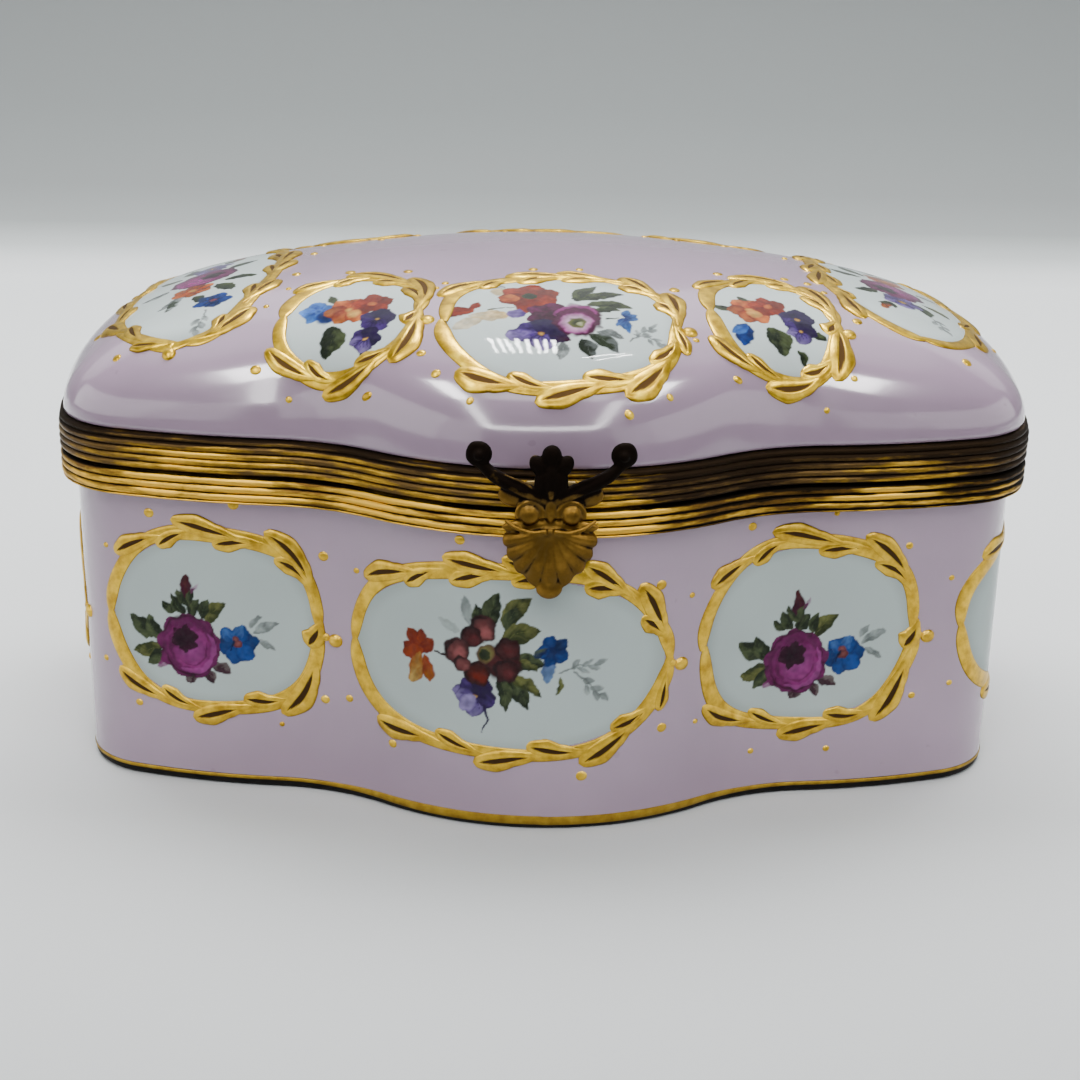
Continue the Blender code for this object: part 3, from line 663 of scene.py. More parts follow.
class Canvas:
    """Colours on a cloud of flat points, painted with soft-edged shapes in millimetres."""

    def __init__(self, a, b, ground, seed):
        self.a = a
        self.b = b
        self.rgb = np.tile(ground, (len(a), 1))
        self.seed = seed
        self.rgb *= (0.96 + 0.06 * lattice_noise(a, b, 5.0, seed))[:, None]

    def lay(self, mask, colour):
        mask = np.clip(mask, 0.0, 1.0)[:, None]
        self.rgb = self.rgb * (1.0 - mask) + np.asarray(colour) * mask

    def local(self, x, y, degrees):
        turn = math.radians(degrees)
        dx, dy = self.a - x, self.b - y
        return dx * math.cos(turn) + dy * math.sin(turn), dy * math.cos(turn) - dx * math.sin(turn)

    def washes(self, size):
        self.seed += 1
        return lattice_noise(self.a, self.b, size, self.seed)

    def petal(self, x, y, degrees, length, width, root, tip, edge=None, fullness=0.72, strength=1.0):
        """A petal from its root at (x, y), with streaks that run along it."""
        u, v = self.local(x, y, degrees)
        t = np.clip(u / length, 0.0, 1.0)
        wobble = 1.0 + 0.30 * (self.washes(0.6) - 0.5)
        half = 0.5 * width * wobble * np.sin(math.pi * t ** fullness) ** 0.62
        inside = (u > -0.03) & (u < length + 0.03)
        mask = smooth_step(0.0, 0.20, half - np.abs(v)) * inside * strength
        streak = 0.5 + 0.5 * np.sin(v * 15.0 / max(width, 0.5) + 5.0 * self.washes(0.5))
        shade = t * 0.85 + 0.30 * (streak - 0.5) + 0.45 * (self.washes(0.8) - 0.5)
        shade = np.clip(shade, 0.0, 1.0)[:, None]
        colour = np.asarray(root) * (1.0 - shade) + np.asarray(tip) * shade
        if edge is not None:
            rim = (smooth_step(0.5, 0.95, np.abs(v) / np.maximum(half, 0.05)) * 0.75)[:, None]
            colour = colour * (1.0 - rim) + np.asarray(edge) * rim
        self.lay(mask, colour)

    def disc(self, x, y, radius, middle, rim, softness=0.15, squash=1.0, strength=1.0):
        u, v = self.a - x, self.b - y
        r = np.hypot(u, v / squash) * (1.0 + 0.22 * (self.washes(0.7) - 0.5))
        share = np.clip(r / radius, 0.0, 1.0)[:, None] ** 1.5
        colour = np.asarray(middle) * (1.0 - share) + np.asarray(rim) * share
        self.lay(smooth_step(0.0, softness, radius - r) * strength, colour)

    def crescent(self, x, y, radius, thick, start, end, colour, strength=1.0, squash=1.0):
        """A brush stroke along an arc, in degrees: broad in the middle and pointed at both ends."""
        u, v = self.a - x, (self.b - y) / squash
        middle, half = 0.5 * (start + end), 0.5 * (end - start)
        off = (np.degrees(np.arctan2(v, u)) - middle + 180.0) % 360.0 - 180.0
        body = np.sqrt(np.clip(1.0 - (off / half) ** 2, 0.0, 1.0))
        wobble = 0.35 * (self.washes(0.5) - 0.5)
        inside = 0.5 * thick * body * (1.0 + wobble) - np.abs(np.hypot(u, v) - radius)
        mask = smooth_step(-0.05, 0.14, inside)
        self.lay(mask * strength, colour)

    def stroke(self, points, width, colour, strength=1.0):
        """A brush line through the points, thinning towards its end."""
        points = np.asarray(points, dtype=float)
        best = np.full(len(self.a), 9.0)
        share = np.zeros(len(self.a))
        for i, (start, end) in enumerate(zip(points, points[1:])):
            way = end - start
            t = ((self.a - start[0]) * way[0] + (self.b - start[1]) * way[1]) / (way @ way)
            t = np.clip(t, 0.0, 1.0)
            far = np.hypot(self.a - start[0] - t * way[0], self.b - start[1] - t * way[1])
            share = np.where(far < best, (i + t) / (len(points) - 1), share)
            best = np.minimum(best, far)
        half = 0.5 * width * (1.0 - 0.65 * share)
        self.lay(smooth_step(-0.06, 0.06, half - best) * strength, colour)

    def leaf(self, x, y, degrees, length, width, tones=GREENS, strength=1.0):
        """A pointed leaf: one dark half, one light half, a pale midrib and side veins."""
        u, v = self.local(x, y, degrees)
        v = v - 0.10 * length * np.sin(math.pi * np.clip(u / length, 0.0, 1.0))
        t = np.clip(u / length, 0.0, 1.0)
        tooth = 1.0 + 0.16 * (self.washes(0.5) - 0.5)
        half = 0.5 * width * tooth * np.sin(math.pi * t ** 0.85) ** 0.75
        mask = smooth_step(0.0, 0.16, half - np.abs(v)) * ((u > 0.0) & (u < length))
        dark, light = tones
        side = smooth_step(-0.30, 0.40, v / max(width, 0.3) + 0.9 * (self.washes(0.7) - 0.5))
        veins = 0.5 + 0.5 * np.sin((u * 1.6 - np.abs(v) * 2.2) * 5.0)
        shade = np.clip(0.85 * side + 0.20 * veins - 0.12, 0.0, 1.0)[:, None]
        self.lay(mask * strength, dark * (1.0 - shade) + light * shade)
        rib = smooth_step(0.0, 0.05, 0.06 - np.abs(v)) * (t > 0.10) * (t < 0.85)
        self.lay(rib * 0.35 * strength, light * 1.3)

    def petals(self, *rows):
        for row in rows:
            self.petal(*row)

    def leaves(self, *rows):
        for row in rows:
            self.leaf(*row)

    def sprigs(self, *rows):
        for row in rows:
            self.sprig(*row)

    def rose(self, x, y, radius, tones=MAGENTA, squash=1.12):
        """A blown rose: ragged petals, a dark star for its heart high on the left, pale crescents."""
        deep, mid, pale = tones
        for i in range(9):
            turn = 40.0 * i + 12.0
            px = x + 0.34 * radius * math.cos(math.radians(turn))
            py = y + 0.34 * radius * squash * math.sin(math.radians(turn))
            length = 0.72 * radius * (1.0 + 0.08 * math.sin(3.1 * i))
            self.petal(px, py, turn, length, 0.95 * radius, mid, mid * 1.15, deep, 0.95)
        self.disc(x, y, 0.86 * radius, mid * 1.1, mid, 0.3, squash)
        self.crescent(x, y, 0.84 * radius, 0.42, 190.0, 395.0, deep, 0.85, squash)
        self.crescent(x, y, 0.90 * radius, 0.34, 60.0, 165.0, deep, 0.7, squash)
        at = lambda right, up: (x + right * radius, y + up * radius)
        self.disc(*at(0.12, -0.10), 0.66 * radius, pale, mid * 1.6, 0.3, squash)
        self.crescent(*at(0.06, -0.04), 0.72 * radius, 0.75, 240.0, 400.0, pale, 0.9, squash)
        self.crescent(*at(0.04, -0.02), 0.55 * radius, 0.30, 230.0, 380.0, mid, 0.85, squash)
        self.crescent(x, y, 0.70 * radius, 0.50, 130.0, 225.0, mid * 1.5, 0.7, squash)
        hx, hy = x - 0.12 * radius, y + 0.24 * radius
        for i in range(6):
            self.petal(hx, hy, 60.0 * i + 22.0, 0.50 * radius, 0.42 * radius, deep * 0.6, deep, None, 0.8)
        self.disc(hx, hy, 0.36 * radius, deep * 0.5, deep * 0.8, 0.2)
        self.crescent(hx + 0.05, hy, 0.42 * radius, 0.18, 100.0, 200.0, mid, 0.6)

    def daisy(self, x, y, radius, count, root, tip, edge, eye, turn=0.0, width=0.95):
        """Petals round an eye."""
        for i in range(count):
            shade = 0.70 + 0.65 * ((i * 2) % count) / count
            self.petal(x, y, turn + 360.0 * i / count, radius, width * radius, np.asarray(root) * shade,
                       np.asarray(tip) * shade, edge, 1.0)
        self.disc(x, y, 0.24 * radius, eye[0], eye[1], 0.12)

    def pansy(self, x, y, radius, tones=VIOLET, turn=0.0):
        deep, mid, pale = tones
        for degrees, size, root, tip in ((125.0, 0.95, deep, mid), (55.0, 1.0, deep, deep),
                                         (190.0, 0.9, mid, pale), (-15.0, 0.95, deep, deep),
                                         (262.0, 1.05, mid, pale)):
            self.petal(x, y, turn + degrees, size * radius, 1.05 * radius, root, tip, deep, 1.05)
        for degrees in (175.0, 200.0, 240.0, 262.0, 284.0):
            a = math.radians(turn + degrees)
            self.stroke([(x, y), (x + 0.62 * radius * math.cos(a), y + 0.62 * radius * math.sin(a))], 0.18,
                        deep * 0.6, 0.8)
        self.disc(x, y, 0.14 * radius, YELLOW[1], WINE[1], 0.1)

    def bud(self, x, y, degrees, length, deep, pale):
        self.petal(x, y, degrees, length, 0.42 * length, deep, pale, deep, 0.8)
        for side in (-28.0, 28.0):
            self.leaf(x, y, degrees + side, 0.62 * length, 0.26 * length)

    def sprig(self, x, y, degrees, length, tones=GREYS, strength=0.8):
        """A faint spray of little leaves on a thin stem."""
        turn = math.radians(degrees)
        tip = (x + length * math.cos(turn), y + length * math.sin(turn))
        bend = (0.5 * (x + tip[0]) - 0.08 * length * math.sin(turn),
                0.5 * (y + tip[1]) + 0.08 * length * math.cos(turn))
        self.stroke([(x, y), bend, tip], 0.22, tones[0], strength)
        for i, side in enumerate((38.0, -38.0, 30.0, -30.0, 4.0)):
            share = 0.35 + 0.15 * i
            px, py = x + (tip[0] - x) * share, y + (tip[1] - y) * share
            self.petal(px, py, degrees + side, 0.38 * length, 0.22 * length, *tones, None, 0.9, strength)


def rose_posy(c):
    """A magenta rose with a blue flower, a bud and leaves: the small reserves of the body."""
    c.leaves((-6.8, -2.2, 152.0, 4.6, 2.6), (-6.6, -3.0, 118.0, 3.9, 2.2),
             (-6.8, -3.6, 196.0, 4.0, 2.3, OLIVES), (-6.6, -4.2, 226.0, 3.0, 2.1),
             (-4.6, 0.9, 146.0, 2.3, 1.4), (-1.0, -0.2, 46.0, 4.0, 2.0, OLIVES),
             (-1.4, 0.2, 72.0, 3.0, 1.5), (-3.0, 0.6, 60.0, 2.6, 1.8), (-3.6, 0.8, 122.0, 3.0, 1.7))
    c.stroke([(-3.1, 0.9), (-3.2, 2.6)], 0.4, GREENS[0])
    c.bud(-3.2, 1.9, 92.0, 4.2, MAGENTA[0], WINE[1])
    c.petal(-2.7, 3.4, 58.0, 2.0, 0.7, MAGENTA[1], MAGENTA[2], None, 0.8, 0.6)
    c.leaves((5.0, -1.2, 24.0, 3.6, 1.5, GREYS, 0.9), (4.6, -0.6, 52.0, 2.4, 1.0, GREYS, 0.8),
             (5.2, -2.0, 330.0, 3.0, 1.1, GREYS, 0.9), (-0.4, -5.8, 340.0, 2.8, 1.8, DUSK),
             (-1.2, -6.4, 300.0, 2.0, 1.5, DUSK), (-3.0, -6.8, 250.0, 1.7, 1.8, DUSK))
    c.petal(-5.6, -5.4, 214.0, 2.2, 1.2, MAGENTA[1], MAGENTA[2], None, 0.9, 0.8)
    c.daisy(2.9, -2.7, 2.75, 6, BLUE[1], BLUE[1] * 1.1, BLUE[0], (WINE[2], WINE[1]), 14.0)
    c.petals((2.6, -2.0, 62.0, 2.2, 1.7, BLUE[1], BLUE[2], None, 0.9, 0.8),
             (2.4, -2.4, 128.0, 2.0, 1.5, BLUE[1], BLUE[2], None, 0.9, 0.6))
    c.disc(2.7, -1.9, 0.55, WINE[2], DUSK[0], 0.2)
    c.stroke([(2.4, -2.3), (2.0, -3.6)], 0.3, BLUE[0] * 0.6)
    c.rose(-3.2, -3.4, 3.95)


def berry_posy(c):
    """A wine-red flower of round petals with a tulip, a pansy and leaves: the large reserves."""
    c.petals((-4.0, 4.4, 104.0, 3.9, 1.6, GREYS[1], GREYS[0], None, 0.9, 0.8),
             (-5.4, 3.6, 150.0, 3.0, 1.4, GREYS[1] * 1.2, GREYS[1], None, 0.9, 0.7))
    c.leaves((-2.2, 4.4, 112.0, 3.4, 1.6), (-1.6, 4.4, 80.0, 4.8, 2.5),
             (-0.2, 4.6, 48.0, 5.2, 2.6, OLIVES), (0.2, 4.2, 66.0, 3.4, 1.7),
             (-0.4, 2.6, 22.0, 5.2, 2.7, OLIVES), (0.2, 0.0, 2.0, 4.8, 2.6),
             (0.6, 0.4, 344.0, 3.6, 1.2, OLIVES), (-0.4, -1.2, 306.0, 5.6, 2.4),
             (0.6, -1.6, 328.0, 4.4, 1.9, OLIVES), (-0.8, -1.6, 282.0, 4.8, 1.9))
    c.stroke([(-5.4, 0.9), (-7.2, 0.5), (-8.6, 0.9)], 0.5, WINE[0])
    for degrees, length, root in ((158.0, 2.6, 1), (118.0, 3.5, 0), (88.0, 3.2, 1), (52.0, 2.6, 0)):
        c.petal(-10.3, 0.2, degrees, length, 1.9, ORANGE[root], ORANGE[1 - root], ORANGE[0], 0.9)
    c.petals((-9.9, 0.6, 196.0, 3.0, 2.2, ORANGE[1], ORANGE[1], ORANGE[0], 0.9),
             (-10.3, 0.2, 254.0, 4.4, 2.3, YELLOW[0], YELLOW[1], ORANGE[1], 1.0),
             (-9.7, 0.1, 282.0, 3.5, 1.7, ORANGE[1], YELLOW[0], ORANGE[0], 1.0),
             (5.4, 0.6, 262.0, 3.0, 1.9, BLUE[1], BLUE[2], None, 0.8, 0.85))
    c.daisy(5.7, 1.9, 2.1, 5, BLUE[0], BLUE[1], BLUE[0], (BLUE[0], BLUE[0]), 40.0)
    c.leaf(3.6, 1.0, 40.0, 1.9, 1.1, (BLUE[0], GREENS[1]))
    c.sprigs((6.4, -0.8, 12.0, 4.4), (8.0, -0.8, 318.0, 4.4))
    c.leaf(6.6, -1.4, 258.0, 2.6, 0.9, OLIVES)
    c.petal(-3.9, -3.6, 190.0, 2.4, 2.2, VIOLET[1], VIOLET[2], VIOLET[0], 1.0)
    c.pansy(-3.4, -4.3, 2.7)
    c.petals((-3.4, -4.2, 226.0, 3.0, 2.2, VIOLET[2], VIOLET[2] * 1.4, VIOLET[1], 1.0),
             (-3.2, -4.4, 338.0, 2.4, 2.0, VIOLET[0], VIOLET[1], VIOLET[0], 1.0))
    c.stroke([(-2.3, -5.6), (-2.0, -7.2), (-2.5, -8.9)], 0.42, VIOLET[0])
    c.disc(-0.2, 0.2, 2.4, WINE[1], WINE[0], 0.5)
    for x, y, size, tone in ((0.3, 2.0, 1.55, WINE[1]), (0.2, -0.9, 1.6, WINE[1]),
                             (-2.6, 4.3, 1.75, WINE[2]), (-4.0, 3.2, 1.4, WINE[1]),
                             (-5.7, 1.2, 1.75, WINE[2]), (-3.2, -1.4, 1.7, ORANGE[0]),
                             (-5.0, -0.4, 1.1, WINE[2])):
        c.disc(x, y, size, tone * 0.8, WINE[0], 0.24)
        c.disc(x + 0.35, y - 0.35, 0.62 * size, tone * 1.5, tone * 0.8, 0.5, 1.0, 0.75)
        c.crescent(x, y, 0.80 * size, 0.5, 70.0, 230.0, WINE[0], 0.85)
    c.disc(-2.3, 1.2, 1.35, OLIVES[1] * 1.2, WINE[1], 0.3)
    c.disc(-2.4, 1.0, 0.80, GREENS[0], OLIVES[0], 0.2)


def mixed_posy(c):
    """A magenta ring rose with orange flowers, a pansy and dark leaves: the lid's large reserves."""
    c.leaves((1.4, 4.0, 62.0, 5.6, 2.4), (2.0, 4.4, 22.0, 6.0, 2.2), (2.6, 3.2, 356.0, 5.6, 2.3),
             (3.2, 1.6, 8.0, 3.6, 1.6), (2.4, -3.6, 318.0, 4.6, 2.4, (GREENS[0] * 1.5, GREYS[0])),
             (1.4, -4.6, 290.0, 3.6, 2.2, (GREENS[0], GREYS[0])), (-0.6, -5.2, 262.0, 3.0, 1.8, GREYS),
             (3.4, -3.0, 340.0, 3.4, 1.6, GREYS))
    c.sprigs((-5.2, 7.6, 158.0, 3.6), (7.2, -4.6, 48.0, 3.8), (7.6, -3.2, 340.0, 3.6))
    c.stroke([(-8.8, 2.2), (-6.0, 2.6)], 0.3, OLIVES[0])
    c.petals((-10.4, 2.4, 196.0, 4.2, 2.0, ORANGE[1], ORANGE[0], ORANGE[0], 0.9),
             (-10.8, 2.2, 168.0, 3.6, 1.6, ORANGE[0], ORANGE[1], ORANGE[0], 0.9),
             (-10.9, 2.4, 60.0, 1.9, 1.5, ORANGE[0], ORANGE[1], None, 0.9),
             (-9.6, 0.2, 208.0, 4.2, 2.2, YELLOW[1], (0.50, 0.44, 0.30), None, 0.9, 0.55),
             (-6.6, 0.6, 176.0, 4.6, 2.6, YELLOW[1], (0.52, 0.47, 0.32), None, 0.9, 0.8),
             (-5.6, 7.0, 176.0, 3.2, 2.4, YELLOW[1], (0.52, 0.47, 0.30), None, 0.9, 0.8))
    c.daisy(-4.0, 5.6, 3.9, 6, ORANGE[0], ORANGE[1], ORANGE[0], (GREENS[0], OLIVES[0]), 20.0)
    c.petals((-5.2, 5.4, 190.0, 2.6, 2.4, ORANGE[2], ORANGE[1], None, 0.9, 0.9),
             (-4.4, 4.2, 262.0, 3.4, 2.8, ORANGE[0], ORANGE[1], ORANGE[0], 0.9),
             (-4.6, 0.9, 180.0, 2.4, 2.2, VIOLET[1], VIOLET[2], None, 0.9))
    c.daisy(-1.6, 0.6, 3.2, 6, MAGENTA[0], MAGENTA[1], MAGENTA[0], (MAGENTA[0], MAGENTA[0]), 24.0)
    c.pansy(-3.0, -3.4, 3.1, VIOLET, 14.0)
    c.petals((-3.6, -3.4, 188.0, 3.6, 2.8, VIOLET[1], VIOLET[2] * 1.2, VIOLET[0], 1.0),
             (-2.2, -3.6, 330.0, 2.8, 2.4, VIOLET[0], MAGENTA[0], VIOLET[0], 1.0))
    c.disc(1.3, -0.4, 3.1, MAGENTA[1], MAGENTA[0], 0.5, 1.25)
    c.crescent(1.3, -0.4, 2.6, 0.7, 20.0, 170.0, MAGENTA[2], 0.6, 1.25)
    c.disc(1.2, -1.2, 2.1, (0.50, 0.44, 0.50), MAGENTA[2], 0.4, 1.2)
    c.disc(1.2, -1.2, 1.25, GREENS[0], OLIVES[1], 0.3)
    c.disc(1.6, -1.4, 0.55, (0.36, 0.40, 0.26), OLIVES[1], 0.2)
    c.stroke([(4.6, -0.2), (6.2, 0.2)], 0.34, GREENS[0])
    for degrees, length in ((72.0, 2.2), (30.0, 2.0), (350.0, 1.7), (276.0, 3.4), (246.0, 2.2)):
        c.petal(6.8, 0.2, degrees, length, 1.4, BLUE[0] * 1.6, BLUE[2], BLUE[1], 0.85)


def trio_posy(c, right=0):
    """Blue, orange and indigo flowers with one dark leaf: the lid's small reserves. right is 1 on the
    right-hand ones, where the flowers sit a little differently."""
    c.petal(-2.4, 2.6, 124.0, 2.4, 1.4, GREENS[1], GREENS[0], None, 0.9)
    c.leaves((-1.6 + 0.7 * right, -2.2, 268.0 + 20.0 * right, 5.0, 3.3), (2.4, -5.4, 284.0, 2.6, 1.3),
             (4.4, -2.6, 340.0, 2.0, 1.6, GREENS, float(right)))
    if right:
        c.leaf(-4.6, 1.0, 172.0, 2.8, 1.6)
        c.petals((-3.6, -2.2, 258.0, 4.6, 2.4, BLUE[0], BLUE[1], BLUE[0], 0.9),
                 (-3.4, -2.4, 222.0, 3.2, 1.8, BLUE[1], BLUE[2], None, 0.9))
    else:
        c.daisy(-4.2, 0.8, 2.4, 5, BLUE[1] * 1.4, BLUE[2] * 1.25, BLUE[2], (BLUE[1], BLUE[2]), 36.0)
        c.disc(-2.9, -0.3, 1.4, BLUE[0], BLUE[1], 0.5, 1.2)
    c.daisy(-0.4 - 2.2 * right, 1.0, 3.0, 6, ORANGE[1], ORANGE[2], ORANGE[0], (YELLOW[1], ORANGE[1]), 10.0)
    c.daisy(2.2 - 2.4 * right, 2.4, 2.6, 5, ORANGE[0], ORANGE[1], ORANGE[0], (ORANGE[2], ORANGE[1]), 30.0)
    c.disc(0.4 - 2.6 * right, 0.2, 1.05, YELLOW[1] * 1.1, ORANGE[2], 0.2)
    c.pansy(3.6 - 0.6 * right, -1.2 + 1.2 * right, 2.5, (VIOLET[0], VIOLET[0] * 1.8, VIOLET[1]), 30.0)
    c.pansy(2.8 + 0.3 * right, -4.8 + 2.6 * right, 2.2, VIOLET, 10.0)


def garden_posy(c):
    """A rose and a peach flower with buds and many leaves: the lid's long end reserves."""
    c.leaves((5.4, 2.6, 30.0, 5.2, 2.4), (3.6, 3.4, 78.0, 4.6, 2.2), (-3.2, 3.0, 128.0, 4.6, 2.2),
             (7.0, -1.6, 330.0, 5.0, 2.0, GREYS),
             (8.6, -2.4, 352.0, 4.6, 1.6, (GREENS[0] * 2.0, GREYS[1])),
             (2.0, -4.0, 286.0, 4.2, 2.0, GREYS), (-5.6, -1.6, 196.0, 5.0, 2.3),
             (-4.2, -3.4, 236.0, 4.2, 1.9, OLIVES), (9.0, 0.4, 12.0, 3.4, 1.7))
    c.sprigs((15.6, 2.6, 350.0, 4.6), (-9.0, -2.6, 196.0, 5.4))
    c.daisy(12.8, 3.2, 2.6, 5, BLUE[0], BLUE[1], BLUE[0], (WINE[2], BLUE[0]), 10.0)
    c.bud(-8.6, 2.4, 160.0, 4.4, ORANGE[0], ORANGE[2])
    c.daisy(-6.8, 0.2, 2.9, 5, VIOLET[1], VIOLET[2], VIOLET[0], (YELLOW[1], VIOLET[0]), 40.0)
    c.daisy(5.8, -0.4, 3.0, 6, ORANGE[1], ORANGE[2], ORANGE[0], (YELLOW[1], ORANGE[1]), 0.0)
    c.rose(-0.6, 0.2, 4.1)


def end_posy(c):
    """The body's end reserves: the tulip and berries spread wider, with a second rose."""
    c.sprig(9.0, -3.0, 320.0, 5.0)
    c.leaves((5.0, 2.6, 40.0, 5.0, 2.6, OLIVES), (5.4, 0.2, 350.0, 5.2, 2.6),
             (4.6, -2.6, 310.0, 4.8, 2.4), (-5.0, 2.8, 140.0, 5.0, 2.5),
             (-5.6, -1.6, 205.0, 5.0, 2.4, OLIVES))
    c.bud(2.6, 3.6, 78.0, 4.6, MAGENTA[0], WINE[1])
    c.stroke([(-6.0, 0.4), (-9.6, 0.3)], 0.4, GREENS[0])
    for degrees, length in ((160.0, 4.2), (196.0, 4.0), (128.0, 3.4), (228.0, 3.0)):
        c.petal(-10.0, 0.2, degrees, length, 2.3, ORANGE[1], WINE[1], ORANGE[0], 0.9)
    c.daisy(7.4, -0.6, 3.1, 6, BLUE[1], BLUE[2], BLUE[0], (WINE[2], WINE[1]), 14.0)
    c.pansy(-4.4, -3.0, 3.0)
    c.rose(0.6, -0.2, 4.3)


def reserve(name, patch, half_a, half_b, posy, body, seed, shift):
    """A white reserve with its flowers, as a fine sheet that lies on the glaze."""
    a = np.arange(-half_a, half_a + PAINT_STEP, PAINT_STEP)
    b = np.arange(-half_b, half_b + PAINT_STEP, PAINT_STEP)
    grid_a, grid_b = [grid.ravel() for grid in np.meshgrid(a, b)]
    power = RESERVE_SQUARENESS
    reach = lambda u, v: (np.abs(u) / half_a) ** power + (np.abs(v) / half_b) ** power
    quads = grid_faces(len(b), len(a))
    quads = quads[reach(grid_a[quads].mean(axis=1), grid_b[quads].mean(axis=1)) < 1.0]
    used, faces = np.unique(quads, return_inverse=True)
    pa, pb = grid_a[used], grid_b[used]
    noise = lambda size, step: lattice_noise(pa, pb, size, seed + step)
    # the painter's hand: outlines wander a little and the tones break up inside them
    waver = [0.34 * (noise(0.8, k) - 0.5) + 0.16 * (noise(0.35, 2 + k) - 0.5) for k in (1, 2)]
    canvas = Canvas(pa - shift[0] + waver[0], pb - shift[1] + waver[1], RESERVE_WHITE, seed)
    posy(canvas)
    covered = smooth_step(0.06, 0.30, np.abs(canvas.rgb - RESERVE_WHITE).max(axis=1))
    broken = 0.55 * noise(0.9, 5) + 0.45 * noise(0.4, 6)
    canvas.rgb *= (1.0 + covered * 0.8 * (broken - 0.50))[:, None]
    # painted shade: the white and its flowers darken by up to a sixth towards the reserve's rim, under the
    # raised gilding
    canvas.rgb *= (1.0 - 0.16 * smooth_step(0.72, 1.0, reach(pa, pb)))[:, None]
    material, depth, tint = PAINT_LOOK[body]
    rgb = RESERVE_WHITE * (np.clip(canvas.rgb, 0.0, 1.0) / RESERVE_WHITE) ** depth * tint
    piece = add_piece(name, patch.place(pa, pb, PAINT_LIFT), faces.reshape(-1, 4), [material],
                      colours=np.clip(rgb, 0.0, 1.0))
    finish_piece(piece, body, body + "_porcelain")


# ---------------------------------------------------------------- raised gilding
# One frond's leaves, from its root at the reserve's right end to its tip at the left end: the side of
# the stem (+1 outside, -1 inside), where the head ends as a share of the way, length and half width
SMALL_UPPER = ((-1, 0.31, 8.4, 1.00), (1, 0.37, 10.0, 1.20), (-1, 0.50, 7.2, 1.05), (1, 0.62, 10.4, 1.15),
               (-1, 0.69, 6.0, 0.95), (1, 0.82, 6.6, 1.10))
SMALL_LOWER = ((-1, 0.10, 4.2, 1.35), (1, 0.33, 10.5, 1.45), (-1, 0.44, 6.6, 1.05), (1, 0.58, 8.2, 1.25),
               (-1, 0.69, 6.8, 0.85), (1, 0.83, 8.2, 1.10))
LARGE_UPPER = ((-1, 0.17, 5.6, 1.10), (1, 0.21, 8.2, 1.30), (-1, 0.33, 7.0, 1.20), (1, 0.36, 8.0, 1.15),
               (-1, 0.50, 8.0, 1.05), (1, 0.52, 7.2, 1.10), (-1, 0.64, 8.0, 1.15), (1, 0.66, 9.6, 1.20),
               (-1, 0.76, 6.0, 1.00), (1, 0.86, 8.4, 1.20))
LARGE_LOWER = ((1, 0.15, 5.0, 0.80), (-1, 0.25, 6.8, 1.05), (1, 0.36, 9.0, 1.35), (-1, 0.46, 8.0, 1.15),
               (1, 0.58, 9.2, 1.25), (-1, 0.68, 7.0, 0.95), (1, 0.81, 8.8, 1.35))
SMALL_FRONDS = (SMALL_UPPER, SMALL_LOWER)
LARGE_FRONDS = (LARGE_UPPER, LARGE_LOWER)


